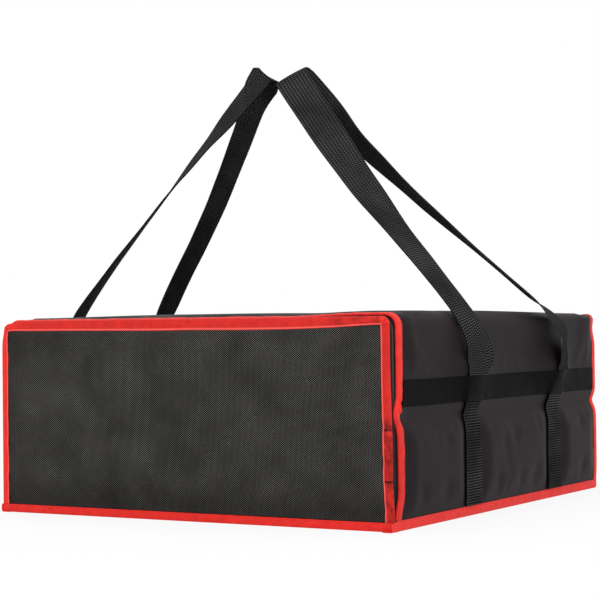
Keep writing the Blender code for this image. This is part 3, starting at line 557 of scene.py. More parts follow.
def textile(name, dark, light, group, pitch, bump, roughness, specular, patch=24.0, patch_depth=0.35,
            lint=0.35, sheen=0.0, contrast=0.8, darkening=None, painted_highlight=None, painted_rib_highlight=None):
    """Cloth of a dark and a light thread at the pitch given along and across it. Three optional masks, in
    the order given, multiply its shade (mostly painted shade), mix in the colour of a painted highlight on
    the bead, and multiply its light threads for a painted highlight."""
    material, tree, shader = start_material(name, roughness, specular)
    place = add_node(tree, "ShaderNodeTexCoord", {})
    names = ("Rib", "Float") if group == RIBS else ("Warp", "Weft")
    cloth = use_group(tree, group, Cloth=place.outputs["UV"], **dict(zip(names, pitch)))
    worn = use_group(tree, HANDLING, Place=place.outputs["Object"], Patch=patch).outputs
    patchy = calc(tree, "MULTIPLY_ADD", worn["Patches"], 2.6, -0.8, clamp=True)
    shown = calc(tree, "MULTIPLY_ADD", patchy, contrast, 0.75 - contrast / 2)
    lit = calc(tree, "MULTIPLY", cloth.outputs["Light"], shown)
    # A painted highlight: the light threads are brightened by this mask.
    if painted_rib_highlight:
        lit = calc(tree, "MULTIPLY", lit, painted_rib_highlight(tree, place))
    colour = mix_colour(tree, lit, (*dark, 1), (*light, 1))
    shade = calc(tree, "MULTIPLY_ADD", worn["Patches"], patch_depth * 2, 1 - patch_depth)
    shade = calc(tree, "MULTIPLY", shade, calc(tree, "MULTIPLY_ADD", worn["Grain"], 0.3, 0.85))
    # Darkens by a mask: painted shade on most cloths, a plain darker band on the mouth's tape.
    if darkening:
        shade = calc(tree, "MULTIPLY", shade, darkening(tree, place))
    toned = add_node(tree, "ShaderNodeVectorMath", {0: colour, "Scale": shade}, operation="SCALE").outputs[0]
    # A painted highlight: the bead's colour is mixed in where its mask says.
    if painted_highlight:
        toned = mix_colour(tree, painted_highlight(tree, place), toned, BEAD_HIGHLIGHT_COLOUR)
    dusty = mix_colour(tree, calc(tree, "MULTIPLY", worn["Lint"], lint), toned, LINT_COLOUR)
    tree.links.new(dusty, shader.inputs["Base Color"])
    rough = calc(tree, "MULTIPLY_ADD", worn["Patches"], ROUGH_SWING * 2, roughness - ROUGH_SWING)
    tree.links.new(rough, shader.inputs["Roughness"])
    add_relief(tree, shader, calc(tree, "MULTIPLY_ADD", worn["Grain"], 0.25, cloth.outputs["Height"]), bump)
    shader.inputs["Sheen Weight"].default_value = sheen
    shader.inputs["Sheen Roughness"].default_value = 0.4
    return material


def between(tree, value, *stops):
    """Rises smoothly from the first stop to the second and, if given, falls from the third to the fourth."""
    share = None
    for start, end in zip(stops[::2], stops[1::2]):
        ends = {0: value, 1: start, 2: end}
        slope = add_node(tree, "ShaderNodeMapRange", ends, interpolation_type="SMOOTHSTEP").outputs[0]
        share = slope if share is None else calc(tree, "MULTIPLY", share, calc(tree, "SUBTRACT", 1.0, slope))
    return share


print("roughness swings by", ROUGH_SWING, "either way with wear")

# %% [markdown]
# ### Where a cloth is darker or lighter
# Some cloths get painted shade in known places: the flap's foot, the tape along the top and down the
# right with a painted shadow in each fold, and the feet of the handles. The tape's bead and the handles'
# ribs near their feet get a painted highlight, and the mouth's tape is darker below the fold. Masks in
# images would need an image for each. Here a mask is a smooth share of a height, or of a place along the
# flat tape, so it stays in place whatever the mesh is.

# %% Masks
def read_axes(tree, place, space):
    """The coordinates of the piece's own space (Object) or of its flat cloth (UV), by axis name."""
    return add_node(tree, "ShaderNodeSeparateXYZ", {0: place.outputs[space]}).outputs


def by_height(start, end, low, high):
    """A mask that goes from low below the start to high above the end."""
    def mask(tree, place):
        height = read_axes(tree, place, "Object")["Z"]
        return calc(tree, "MULTIPLY_ADD", between(tree, height, start, end), high - low, low)
    return mask


def painted_tape_shade(tree, place):
    """Painted shade on the tape along the top and, more, on the right, where it's creased, and a painted
    shadow line in each fold.
    """
    flat = read_axes(tree, place, "UV")
    along = flat["X"]
    turn = math.pi * FLAP_RADIUS / 2
    top_start, top_end = FLAP_SIDE + turn, FLAP_LENGTH - FLAP_SIDE - turn
    top = calc(tree, "MULTIPLY", between(tree, along, top_start, top_start + 0.004, top_end - 0.03, top_end),
               between(tree, flat["Y"], 0.0012, 0.0026))
    right = calc(tree, "SUBTRACT", 1.0, between(tree, along, FLAP_SIDE, FLAP_SIDE + 0.004))
    lower = calc(tree, "SUBTRACT", 1.0, between(tree, along, 0.098, 0.112))
    creased = add_node(tree, "ShaderNodeTexNoise", {"Vector": place.outputs["UV"], "Scale": 85.0,
                                                    "Detail": 3.0, "Roughness": 0.6, "Distortion": 0.4})
    corner = between(tree, along, top_start, top_start + 0.004, top_start + 0.045, top_start + 0.075)
    creases = calc(tree, "MULTIPLY", calc(tree, "MULTIPLY_ADD", creased.outputs[0], 4.2, -1.6, clamp=True),
                   calc(tree, "MULTIPLY_ADD", corner, 0.7, lower))
    # Painted shade along the top, more down the right, in noisy creases, and a painted shadow at each fold.
    shade = calc(tree, "MULTIPLY_ADD", right, -0.27, calc(tree, "MULTIPLY_ADD", top, -0.22, 1.0))
    shade = calc(tree, "MULTIPLY_ADD", creases, -0.46, shade)
    for middle in (*OVERLAP, top_start - turn / 2, top_end + turn / 2):
        fold = between(tree, along, *[middle + step for step in FOLD_SHADOW_LINE])
        shade = calc(tree, "MULTIPLY_ADD", fold, -0.34, shade)
    return shade


def painted_bead_highlight(tree, place):
    """A painted highlight along the tape's inner edge, where a raised bead would catch the light."""
    across = read_axes(tree, place, "UV")["Y"]
    return calc(tree, "MULTIPLY", between(tree, across, 0.0002, 0.0008, 0.0014, 0.0026), BEAD_HIGHLIGHT_SHARE)


def painted_feet_shade(tree, place):
    """Painted shade on the handles where they leave the bag, and more on the rear legs, turned edge-on there.
    """
    at = read_axes(tree, place, "Object")
    low = calc(tree, "SUBTRACT", 1.0, between(tree, at["Z"], 0.195, 0.245))
    depth = calc(tree, "MULTIPLY_ADD", between(tree, at["Y"], 0.040, 0.080), 0.22, 0.34)
    return calc(tree, "SUBTRACT", 1.0, calc(tree, "MULTIPLY", low, depth))


print("the tape's ends lap over", round((OVERLAP[1] - OVERLAP[0]) * 1000, 1), "mm")

# %% [markdown]
# ### The bag's textiles
# The colours are fitted to the photo. The flap's weave has the widest contrast, the webbing the deepest
# ribs, and the three red tapes are one cloth: the flap's has painted shade and a painted highlight, and the
# mouth's is darker below the fold. The handles' webbing has a lighter dark thread than the straps', for dust
# and a painted sheen.

# %% The bag's textiles
FINE_TAPE = {"group": WEAVE, "pitch": (0.0005, 0.0007), "bump": 0.00006, "roughness": 0.60, "specular": 0.12,
             "patch": 110.0, "lint": 0.0, "sheen": 0.15}
THREAD = {"group": WEAVE, "pitch": (0.0003, 0.0003), "bump": 0.00005, "roughness": 0.45, "patch_depth": 0.1,
          "lint": 0.0}
COATED_CLOTH = textile("coated_cloth", (0.0138, 0.0100, 0.0108), (0.0184, 0.0136, 0.0150), WEAVE,
                       (0.0006, 0.0006), 0.00004, 0.46, 0.047, patch=9.0, patch_depth=0.24)
# The flap's cloth gets painted shade towards its foot.
FLAP_CLOTH = textile("flap_cloth", (0.0044, 0.0042, 0.0039), (0.272, 0.263, 0.243), WEAVE,
                     (0.00150, 0.00109), 0.00018, 0.60, 0.035, patch=18.0, patch_depth=0.10, contrast=0.42,
                     darkening=by_height(0.012, 0.048, 0.68, 1.0))
BINDING_TAPE = textile("binding_tape", (0.76, 0.024, 0.018), (0.90, 0.050, 0.038), patch_depth=0.24,
                       **FINE_TAPE)
MOUTH_TAPE = textile("mouth_binding_tape", (0.76, 0.024, 0.018), (0.90, 0.052, 0.042), patch_depth=0.30,
                     darkening=by_height(0.108, 0.128, 0.80, 1.0), **FINE_TAPE)
# The flap's tape: painted shade along its top, its right and its folds, and a painted highlight on its bead.
FLAP_TAPE = textile("flap_binding_tape", (0.78, 0.024, 0.018), (0.92, 0.052, 0.040), patch_depth=0.26,
                    darkening=painted_tape_shade, painted_highlight=painted_bead_highlight, **FINE_TAPE)
WEBBING = textile("webbing", (0.0026, 0.0026, 0.0027), (0.108, 0.108, 0.109), RIBS, (0.0030, 0.0040),
                  0.00065, 0.60, 0.004, patch=20.0, patch_depth=0.20)
# Lighter dark thread than the straps': dust and a painted sheen. Painted shade and rib highlight at the feet.
HANDLE_WEBBING_DUST_AND_SHEEN = textile("handle_webbing_dust_and_sheen", (0.0115, 0.0115, 0.0116), (0.084, 0.084, 0.085), RIBS,
                         (0.0028, 0.0038), 0.00050, 0.60, 0.004, patch=20.0, patch_depth=0.20,
                         darkening=painted_feet_shade, painted_rib_highlight=by_height(0.200, 0.235, 2.9, 1.0))
RIBBON = textile("ribbon", (0.0030, 0.0029, 0.0028), (0.0065, 0.0063, 0.0061), RIBS, (0.0011, 0.0400),
                 0.00010, 0.42, 0.012, patch=20.0, patch_depth=0.2)
ZIP_TAPE = textile("zip_tape", (0.010, 0.010, 0.011), (0.045, 0.045, 0.046), RIBS, (0.0008, 0.0016),
                   0.00015, 0.65, 0.08)
THREAD_RED = textile("thread_red", (0.72, 0.018, 0.012), (0.95, 0.06, 0.045), specular=0.4, **THREAD)
THREAD_BLACK = textile("thread_black", (0.004, 0.004, 0.004), (0.014, 0.014, 0.014), specular=0.08, **THREAD)
print("textiles:", len(bpy.data.materials) - 1)

# %% [markdown]
# ### Foil, foam, plastic and lacquer
# The lining is foil on cloth, which creases into small flat facets, so its bump comes from cells and not
# from soft noise. Foam shows its cells, the moulded zip is plain plastic, and the slider is lacquered
# metal that has rubbed bare on its raised places.

# %% Other finishes
def foil_material():
    material, tree, shader = start_material("foil_lining", 0.25, 0.5, 1.0)
    place = add_node(tree, "ShaderNodeTexCoord", {}).outputs["Object"]
    bent = add_node(tree, "ShaderNodeTexNoise", {"Vector": place, "Scale": 20.0, "Detail": 2.0})
    bend = {0: bent.outputs["Color"], 1: (0.03, 0.03, 0.03), 2: place}
    moved = add_node(tree, "ShaderNodeVectorMath", bend, operation="MULTIPLY_ADD")
    facets = add_node(tree, "ShaderNodeTexVoronoi", {"Vector": moved.outputs[0], "Scale": 60.0})
    fine = add_node(tree, "ShaderNodeTexVoronoi", {"Vector": moved.outputs[0], "Scale": 190.0})
    height = calc(tree, "MULTIPLY_ADD", fine.outputs["Distance"], 0.35, facets.outputs["Distance"])
    add_relief(tree, shader, height, 0.0016, 0.8)
    shade = calc(tree, "MULTIPLY_ADD", facets.outputs["Distance"], 0.12, 0.80)
    blue = calc(tree, "MULTIPLY", shade, 1.02)
    colour = add_node(tree, "ShaderNodeCombineColor", {0: shade, 1: shade, 2: blue})
    tree.links.new(colour.outputs[0], shader.inputs["Base Color"])
    rough = calc(tree, "MULTIPLY_ADD", fine.outputs["Distance"], 0.2, 0.2)
    tree.links.new(rough, shader.inputs["Roughness"])
    return material


def foam_material():
    material, tree, shader = start_material("foam", 0.9, 0.2)
    place = add_node(tree, "ShaderNodeTexCoord", {})
    cells = add_node(tree, "ShaderNodeTexVoronoi", {"Vector": place.outputs["Object"], "Scale": 900.0})
    colour = mix_colour(tree, cells.outputs["Distance"], (0.80, 0.80, 0.77, 1), (0.70, 0.69, 0.65, 1))
    tree.links.new(colour, shader.inputs["Base Color"])
    add_relief(tree, shader, cells.outputs["Distance"], 0.0003)
    return material


def moulded_material(name, dark, worn_colour, roughness, metallic):
    """Black plastic or lacquer, a little lighter and smoother where it is rubbed."""
    material, tree, shader = start_material(name, roughness, 0.5, metallic)
    place = add_node(tree, "ShaderNodeTexCoord", {})
    worn = use_group(tree, HANDLING, Place=place.outputs["Object"], Patch=300.0)
    rubbed = calc(tree, "MULTIPLY_ADD", worn.outputs["Patches"], 4.0, -2.2, clamp=True)
    tree.links.new(mix_colour(tree, rubbed, (*dark, 1), (*worn_colour, 1)), shader.inputs["Base Color"])
    rough = calc(tree, "MULTIPLY_ADD", worn.outputs["Patches"], 0.3, roughness - 0.15)
    tree.links.new(rough, shader.inputs["Roughness"])
    add_relief(tree, shader, worn.outputs["Grain"], 0.00004)
    return material


FOIL = foil_material()
FOAM = foam_material()
ZIP_PLASTIC = moulded_material("zip_plastic", (0.018, 0.018, 0.019), (0.035, 0.035, 0.036), 0.32, 0.0)
LACQUER = moulded_material("lacquered_metal", (0.014, 0.014, 0.015), (0.10, 0.10, 0.105), 0.34, 0.5)
print("materials:", len(bpy.data.materials) - 1)

# %% [markdown]
# ## Letting the cloth settle
# Cloth sewn over foam is always a little longer than the frame it is sewn to, and the spare length rises
# in soft folds. A cloth simulation finds them: the sewn margins are pinned, the cloth grows by about a
# percent, and air pushes it lightly off the foam. Folds could be painted by hand, but these meet the
# seams as real ones do. The travel is capped, so that no fold reaches into the foam behind it.

# %% Cloth simulation
SETTLE_FRAMES = 24


def settle(piece, held, growth, air, most_out, most_in):
    """Runs the cloth and keeps its result; held(vertex place) says how firmly a place is sewn down."""
    places = [vert.co.copy() for vert in piece.data.vertices]
    normals = [vert.normal.copy() for vert in piece.data.vertices]
    grips = [held(place) for place in places]
    sewn = piece.vertex_groups.new(name="sewn")
    for i, grip in enumerate(grips):
        sewn.add([i], grip, "REPLACE")
    pick(piece)
    bpy.ops.object.modifier_add(type="CLOTH")
    cloth = piece.modifiers[-1]
    cloth.settings.quality = 6
    cloth.settings.mass = 0.3
    cloth.settings.tension_stiffness = 12
    cloth.settings.compression_stiffness = 12
    cloth.settings.shear_stiffness = 4
    cloth.settings.bending_stiffness = 3.0
    cloth.settings.shrink_min = -growth
    cloth.settings.vertex_group_mass = "sewn"
    cloth.settings.use_pressure = True
    cloth.settings.uniform_pressure_force = air
    cloth.settings.effector_weights.gravity = 0
    cloth.point_cache.frame_start = 1
    cloth.point_cache.frame_end = SETTLE_FRAMES
    for frame_number in range(1, SETTLE_FRAMES + 1):
        bpy.context.scene.frame_set(frame_number)
    shown = piece.evaluated_get(bpy.context.evaluated_depsgraph_get()).to_mesh()
    moved = [vert.co.copy() for vert in shown.vertices]
    piece.modifiers.remove(cloth)
    bpy.context.scene.frame_set(1)
    reach = 0.0
    for vert, place, normal, new, grip in zip(piece.data.vertices, places, normals, moved, grips):
        step = new - place
        out = min(most_out, max(-most_in, step.dot(normal)))
        along = step - normal * step.dot(normal)
        along *= min(1.0, most_out / max(along.length, LEAST_RADIUS))
        vert.co = place + (normal * out + along) * (1 - grip)
        reach = max(reach, out)
    piece.data.update()
    piece.vertex_groups.clear()
    print(piece.name, "rose by", round(reach * 1000, 2), "mm at most")

# %% [markdown]
# ## Wrap: side, top and side
# One long sheet makes both sides and the top. It is cut at its developed length and laid over the arch, a
# little deeper along its edges, where binding tape covers it. The wall behind it is foam, thin at the
# seams, and the foil lining, quilted into shallow squares so that it keeps its shape.

# %% The wrap's three layers
SHEET_STEP = 0.0062
PAD_STEP = 0.012
QUILT = 0.046
QUILT_DEPTH = 0.0009
QUILT_SWELL = 0.6
FOAM_EDGE = 0.014
FOAM_TAPER = 0.015
FOAM_PRESS = 0.0013


def outward_of_wrap(centre):
    across = centre.x / HALF_WIDTH
    if abs(across) > 0.96 and centre.z < HEIGHT - TOP_RADIUS / 2:
        return Vector((across, 0, 0))
    return Vector((0, 0, 1))


def under_tape(distance, covered, free):
    """A depth that is covered under the binding and free in the field, by the distance from the sewn edge."""
    return covered + (free - covered) * ramp(distance, BINDING_WIDTH, BINDING_WIDTH + 0.0028)


def fold_press(y, z):
    """1 where the old fold line presses the foam flat, 0 away from it."""
    return ramp(z, BAND_TOP + 0.02, BAND_TOP) * hill(z, crease_height(y), 1.5 * CREASE_SPREAD)


def quilting(along, across):
    """0 on the quilt's seams, 1 in the middle of its squares."""
    return abs(math.sin(math.pi * along / QUILT) * math.sin(math.pi * across / QUILT)) ** QUILT_SWELL


def wrap_sheet(name, edge, covered, free, quilt=0.0, pressed=0.0):
    """A sheet over the arch that starts edge metres inside the seams, at the given depths."""
    length = arch_length(TOP_RADIUS, FOOT_RADIUS)
    piece = cut_cloth(name, length, BACK - MOUTH - 2 * edge, SHEET_STEP)

    def place(along, across):
        y = MOUTH + edge + across
        seam = min(y - MOUTH, BACK - y, along + FOOT_RADIUS, length - along + FOOT_RADIUS)
        inset = under_tape(seam, covered, free) + quilt * quilting(along, across)
        x, z = arch_point(along, inset, TOP_RADIUS, FOOT_RADIUS)
        if pressed:
            x, z = arch_point(along, inset + pressed * fold_press(y, z), TOP_RADIUS, FOOT_RADIUS)
        return Vector((x, y, z))

    lay(piece, place)
    face_outwards(piece, outward_of_wrap)
    return reshape(piece, filled)


def wrap_grip(place):
    """Where the wrap's cloth is sewn down: at its seams, on the webbing and on the bands."""
    seam = min(place.y - MOUTH, BACK - place.y)
    grip = ramp(seam, BINDING_WIDTH + 0.012, BINDING_WIDTH)
    if place.z < HEIGHT - TOP_RADIUS and abs(place.x) > HALF_WIDTH - 0.02:
        grip = max(grip, ramp(place.z, SIDE_TAPE_RISE + 0.012, SIDE_TAPE_RISE))
        side = "right" if place.x > 0 else "left"
        if place.z < BAND_TOP + 0.004:
            grip = max(grip, strap_hold(place.y, side))
        grip = max(grip, ramp(abs(place.z - (BAND_LOW + BAND_TOP) / 2), 0.022, 0.015))
        grip = max(grip, 0.8 * hill(place.z, crease_height(place.y), CREASE_SPREAD))
    return min(1.0, grip)


def finish_pad(piece, body, node, edge_distance, pressed=None):
    """Foam of full thickness in the field, pressed thin towards its sewn edge and at a fold."""
    full = piece.vertex_groups.new(name="full")
    for vert in piece.data.vertices:
        share = 0.22 + 0.78 * ramp(edge_distance(vert.co), FOAM_EDGE, FOAM_EDGE + FOAM_TAPER)
        if pressed:
            share = min(share, 1 - 0.5 * pressed(vert.co))
        full.add([vert.index], share, "REPLACE")
    thicken(piece, FOAM_THICKNESS, vertex_group="full")
    piece.vertex_groups.clear()
    finish(piece, body, "foam", FOAM, node)


def finish_cloth(piece, body, slot, material, node, *settling):
    """A face cloth: settled, given its wall and finished."""
    settle(piece, *settling)
    thicken(piece, SHELL_THICKNESS)
    finish(piece, body, slot, material, node)


def finish_foil(piece, body, node):
    thicken(piece, LINING_THICKNESS)
    finish(piece, body, "foil_lining", FOIL, node)


finish_cloth(wrap_sheet("wrap_cloth", CLEARANCE + UNDER_BINDING, UNDER_BINDING, 0), "bag_body",
             "coated_cloth", COATED_CLOTH, "wrap_shell", wrap_grip, 0.007, 0.6, 0.0022, 0.0002)
finish_pad(wrap_sheet("wrap_foam_pad", FOAM_EDGE, FOAM_DEPTH, FOAM_DEPTH, pressed=FOAM_PRESS), "bag_body",
           "wrap_foam", lambda at: min(at.y - MOUTH, BACK - at.y), lambda at: fold_press(at.y, at.z))
finish_foil(wrap_sheet("wrap_foil", LINING_EDGE, LINING_EDGE, LINING_FIELD, quilt=QUILT_DEPTH), "bag_body",
            "wrap_lining")

# %% [markdown]
# ## Front flap and back
# Both are flat rectangles in three layers. The flap's face is the basket-weave cloth that fills the
# picture, so it gets the finest mesh and its own run of the cloth simulation, with more spare length near
# the top, where the binding gathers it. The back is the plain coated cloth and bows out a little.

# %% Panels
PANEL_HIDE = 0.0055
FLAP_STEP = 0.0042
FLAP_SWELL = 0.0016
FLAP_DRAW = 0.0036
FLAP_SNUG = 0.0030


def panel_sheet(name, face_y, inward, foot, hide, covered, free, step, form, quilt=0.0, open_foot=False):
    """A sheet across the bag, hide metres inside its outline, at the given depths behind the face, then
    shaped by form."""
    width = 2 * (HALF_WIDTH - hide)
    foot_hide = CLEARANCE if open_foot else hide
    piece = cut_cloth(name, width, HEIGHT - foot - hide - foot_hide, step)

    def place(along, across):
        x = along - width / 2
        z = foot + foot_hide + across
        seam = min(HALF_WIDTH - abs(x), HEIGHT - z, BINDING_WIDTH * 2 if open_foot else z - foot)
        inset = under_tape(seam, covered, free) + quilt * quilting(along, across)
        return Vector((x, face_y + inward * inset, z))

    lay(piece, place)
    face_outwards(piece, (0, -inward, 0))
    return reshape(piece, form)


def flap_form(place):
    """The flap bows out a little, its right edge draws in towards the top and its left corner is snug."""
    x, y, z = place
    across = max(0.0, 1 - (x / HALF_WIDTH) ** 2)
    up = math.sin(math.pi * min(1, max(0, (z - FLAP_FOOT) / (HEIGHT - FLAP_FOOT))))
    drawn = ramp(z, FLAP_FOOT + 0.002, 0.052) * (0.5 + 0.5 * ramp(z, 0.08, 0.18)) * ramp(x, 0.10, 0.245)
    snug = FLAP_SNUG * ramp(x + HALF_WIDTH + HEIGHT - z, 0.030, 0.004)
    return Vector((x - FLAP_DRAW * drawn + snug, y - FLAP_SWELL * across * up, z - snug))


def panel_seam(foot):
    return lambda place: min(HALF_WIDTH - abs(place.x), HEIGHT - place.z, place.z - foot)


def panel_grip(foot, top_spread):
    def grip(place):
        sides = min(HALF_WIDTH - abs(place.x), place.z - foot)
        held = ramp(sides, BINDING_WIDTH + 0.012, BINDING_WIDTH + 0.001)
        return max(held, ramp(HEIGHT - place.z, BINDING_WIDTH + top_spread, BINDING_WIDTH))
    return grip


for label, body, face, form, open_foot, step, slot, cloth, top_spread, settling in (
        ("flap", "front_flap", (FRONT, 1, FLAP_FOOT), flap_form, True, FLAP_STEP, "flap_cloth", FLAP_CLOTH,
         0.006, (0.010, 0.5, 0.0030, 0.0003)),
        ("back", "bag_body", (BACK, -1, 0), filled, False, SHEET_STEP, "coated_cloth", COATED_CLOTH,
         0.012, (0.012, 0.6, 0.0028, 0.0002))):
    foot = face[2]
    finish_cloth(panel_sheet(label + "_cloth", *face, PANEL_HIDE, UNDER_BINDING, 0, step, form,
                             open_foot=open_foot),
                 body, slot, cloth, label + "_shell", panel_grip(foot, top_spread), *settling)
    finish_pad(panel_sheet(label + "_foam_pad", *face, FOAM_EDGE, FOAM_DEPTH, FOAM_DEPTH, PAD_STEP, form),
               body, label + "_foam", panel_seam(foot))
    finish_foil(panel_sheet(label + "_foil", *face, PANEL_HIDE, LINING_EDGE, LINING_FIELD, SHEET_STEP, form,
                            QUILT_DEPTH, open_foot), body, label + "_lining")

# %% [markdown]
# ## Floor of the bag
# The floor has the same three layers, laid flat. The cloth underneath bears the load, so it stays level,
# and the foam is cut like any pad: a block, its rim bevelled where the seams press it.

# %% The bag's floor
base_low, base_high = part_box("base_shell")
base = cut_cloth("base_cloth", base_high.x - base_low.x, base_high.y - base_low.y, PAD_STEP)
lay(base, lambda along, across: Vector((base_low.x + along, base_low.y + across, 0)))
face_outwards(base, (0, 0, -1))
thicken(base, SHELL_THICKNESS)
finish(base, "bag_body", "coated_cloth", COATED_CLOTH, "base_shell")

pad_low, pad_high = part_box("base_foam")
bpy.ops.object.select_all(action="DESELECT")
bpy.ops.mesh.primitive_cube_add(size=1, location=(pad_low + pad_high) / 2, scale=pad_high - pad_low)
base_pad = bpy.context.object
base_pad.name = "base_foam_pad"
bpy.ops.object.transform_apply(location=True, rotation=False, scale=True)
bpy.ops.object.mode_set(mode="EDIT")
bpy.ops.mesh.select_all(action="SELECT")
bpy.ops.mesh.bevel(offset=0.0018, segments=3)
bpy.ops.object.mode_set(mode="OBJECT")
finish(base_pad, "bag_body", "foam", FOAM, "base_foam")

foil_low, foil_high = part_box("base_lining")
base_foil = cut_cloth("base_foil", foil_high.x - foil_low.x, foil_high.y - foil_low.y, SHEET_STEP)
lay(base_foil, lambda along, across: Vector((
    foil_low.x + along, foil_low.y + across, foil_high.z + QUILT_DEPTH * quilting(along, across))))
face_outwards(base_foil, (0, 0, 1))
finish_foil(base_foil, "bag_body", "base_lining")

# %% [markdown]
# ## Red binding
# Binding is a flat tape folded over the raw edges and sewn through. Round the flap and the mouth it folds
# right over, and along the bag's other edges it covers a corner. The tape is cut at its true width, 25 mm
# or so, and laid over the edge: an outer leg, a round nose and an inner leg. It isn't dead flat: the seam
# presses a groove near its inner edge, small puckers cross it, and it gets narrower where it was pulled
# tight.

# %% Folded tape
SEAM_FROM_EDGE = 0.0020
SEAM_GROOVE = 0.85
SEAM_SPREAD = 0.0010
RAW_EDGE = 0.0006
PILLOW_LIFT = 0.00050
PUCKER_LIFT = 0.00048
PUCKER_SIZE = 0.010
NOSE = FOLD_DEPTH / 2
LEG = BINDING_WIDTH - NOSE
FOLDED_WIDTH = 2 * LEG + math.pi * NOSE
TAPE_STEP = 0.0030
TAPE_COLUMNS = 30
OVERLAP_LIFT = 0.0008


def over_edge(across, leg_share):
    """How far in from the edge a point across the folded tape lies, and how deep."""
    if across <= LEG:
        return NOSE + (LEG - across) * leg_share, 0.0
    if across <= LEG + math.pi * NOSE:
        angle = (across - LEG) / NOSE
        return NOSE - NOSE * math.sin(angle), NOSE - NOSE * math.cos(angle)
    return NOSE + across - LEG - math.pi * NOSE, FOLD_DEPTH


def sewn_relief(along, across, leg_share, seed):
    """How far the outer leg stands proud: a pillow, a pressed seam near its edge, and puckers across it."""
    if across > LEG:
        return 0.0
    from_raw = across * leg_share
    pressed = SEAM_GROOVE * hill(from_raw, SEAM_FROM_EDGE, SEAM_SPREAD)
    pillow = PILLOW_LIFT * ramp(across, 0, RAW_EDGE) * (1 - pressed)
    pucker = PUCKER_LIFT * ripple(seed, PUCKER_SIZE, along, across * 0.25)
    fine = 0.45 * PUCKER_LIFT * ripple(seed + 1, PUCKER_SIZE * 0.35, along, across * 0.3)
    return (pillow + pucker + fine) * ramp(across, LEG, LEG * 0.8)


def folded_surface(place_of, leg_share, seed, length, extra=None):
    """place_of(along, into, depth) puts a point on the bag; extra(along, into) is a further lift, if any."""
    def place(along, across):
        share = leg_share(along)
        into, depth = over_edge(across, share)
        lift = sewn_relief(along, across, share, seed)
        if extra and across < LEG:
            lift += extra(along, into) * ramp(across, LEG, LEG * 0.8)
        return place_of(along, into, depth - lift * ramp(min(along, length - along), 0, 0.006))
    return place


print("tape", round(FOLDED_WIDTH, 4), "m wide before it's folded, its legs", round(LEG, 4), "m")

# %% [markdown]
# ### Tape round the flap
# This is the tape that the picture shows best: wide along the top, pulled narrow on the right, mitred at
# both corners, its two ends lapped low on the right. Its width is a rule of the place along it, so the
# stitches can follow the same rule.

# %% Flap tape
def flap_leg(along):
    """The tape's face on the flap: wide along the top, narrow towards its right end and on the left."""
    from_right = along - FLAP_SIDE
    top = FLAP_LENGTH - 2 * FLAP_SIDE
    if from_right < 0:
        return 0.85 + 0.09 * ramp(along, 0.17, 0.08) + 0.05 * ripple(4, 0.05, along)
    if from_right > top:
        return 0.84 + 0.04 * ripple(5, 0.06, along)
    wide = 0.98 + 0.18 * ramp(from_right, 0.02, 0.14) - 0.14 * ramp(from_right, 0.30, top)
    return wide - 0.20 * ramp(from_right, 0.075, 0.012) + 0.05 * ripple(6, 0.07, along)


def on_flap(along, into, depth):
    x, z = arch_point(along, into, FLAP_RADIUS, FLAP_FOOT)
    corner = (HALF_WIDTH - abs(x)) - (HEIGHT - z)
    mitre = 0.0010 * hill(corner, -0.0006, 0.0016) * ramp(HEIGHT - z, 0.020, 0.010) if depth < NOSE else 0
    return flap_form(Vector((x, FRONT + depth - mitre, z)))


def finish_tape(piece, body, material, node, out, judged):
    """A piece of binding: turned by the faces that judged picks, given its wall and finished."""
    face_outwards(piece, out, judged)
    thicken(piece, BINDING_THICKNESS)
    finish(piece, body, "binding_tape", material, node)


def tape_joint(along, into):
    """The tape is double where its ends lap, low on the right; it's creased there and gathered on top."""
    low, high = OVERLAP
    double = ramp(along, low - 0.0008, low + 0.0008) * ramp(along, high + 0.0008, high - 0.0008)
    gathers = 0.0006 * ripple(21, 0.013, along, into * 0.5) * ramp(along, FLAP_SIDE, FLAP_SIDE + 0.02)
    creases = 0.0008 * ripple(22, 0.009, along, into * 0.6) * ramp(along, 0.125, 0.105)
    return OVERLAP_LIFT * double + gathers + creases


flap_surface = folded_surface(on_flap, flap_leg, 1, FLAP_LENGTH, tape_joint)
flap_tape = cut_cloth("flap_binding_tape", FLAP_LENGTH, FOLDED_WIDTH, TAPE_STEP, TAPE_COLUMNS)
lay(flap_tape, flap_surface)
finish_tape(flap_tape, "front_flap", FLAP_TAPE, "flap_binding", (0, -1, 0),
            lambda centre: centre.y < FRONT + NOSE / 2)

# %% [markdown]
# ### Tape round the mouth
# The mouth's tape is folded over the arch's front edge. On the right the old fold pinches it forward and
# leaves a slanting tuck. A sculpted dent would lose the seam, so the tuck is a ridge and a valley across
# it.

# %% Mouth tape
def mouth_leg(along):
    return 0.98 + 0.05 * ripple(8, 0.05, along)


def on_mouth(along, into, depth):
    x, z = arch_point(along, depth, TOP_RADIUS, MOUTH_FOOT)
    return filled(Vector((x, MOUTH + into, z)))


def mouth_tuck(along, into):
    """A slanting tuck in the tape where the mouth folds at the right."""
    slant = along + MOUTH_FOOT + into * 1.1
    crumple = 0.0013 * ripple(9, 0.006, along, into * 0.7) * hill(along + MOUTH_FOOT, 0.126, 0.014)
    return crumple + 0.0024 * hill(slant, 0.1340, 0.0022) - 0.0015 * hill(slant, 0.1395, 0.0022)


mouth_surface = folded_surface(on_mouth, mouth_leg, 2, MOUTH_LENGTH, mouth_tuck)
mouth_tape = cut_cloth("mouth_binding_tape", MOUTH_LENGTH, FOLDED_WIDTH, 0.0022, TAPE_COLUMNS)
lay(mouth_tape, mouth_surface)
finish_tape(mouth_tape, "bag_body", MOUTH_TAPE, "mouth_binding", (0, 0, 1),
            lambda centre: centre.z > HEIGHT - 0.001)

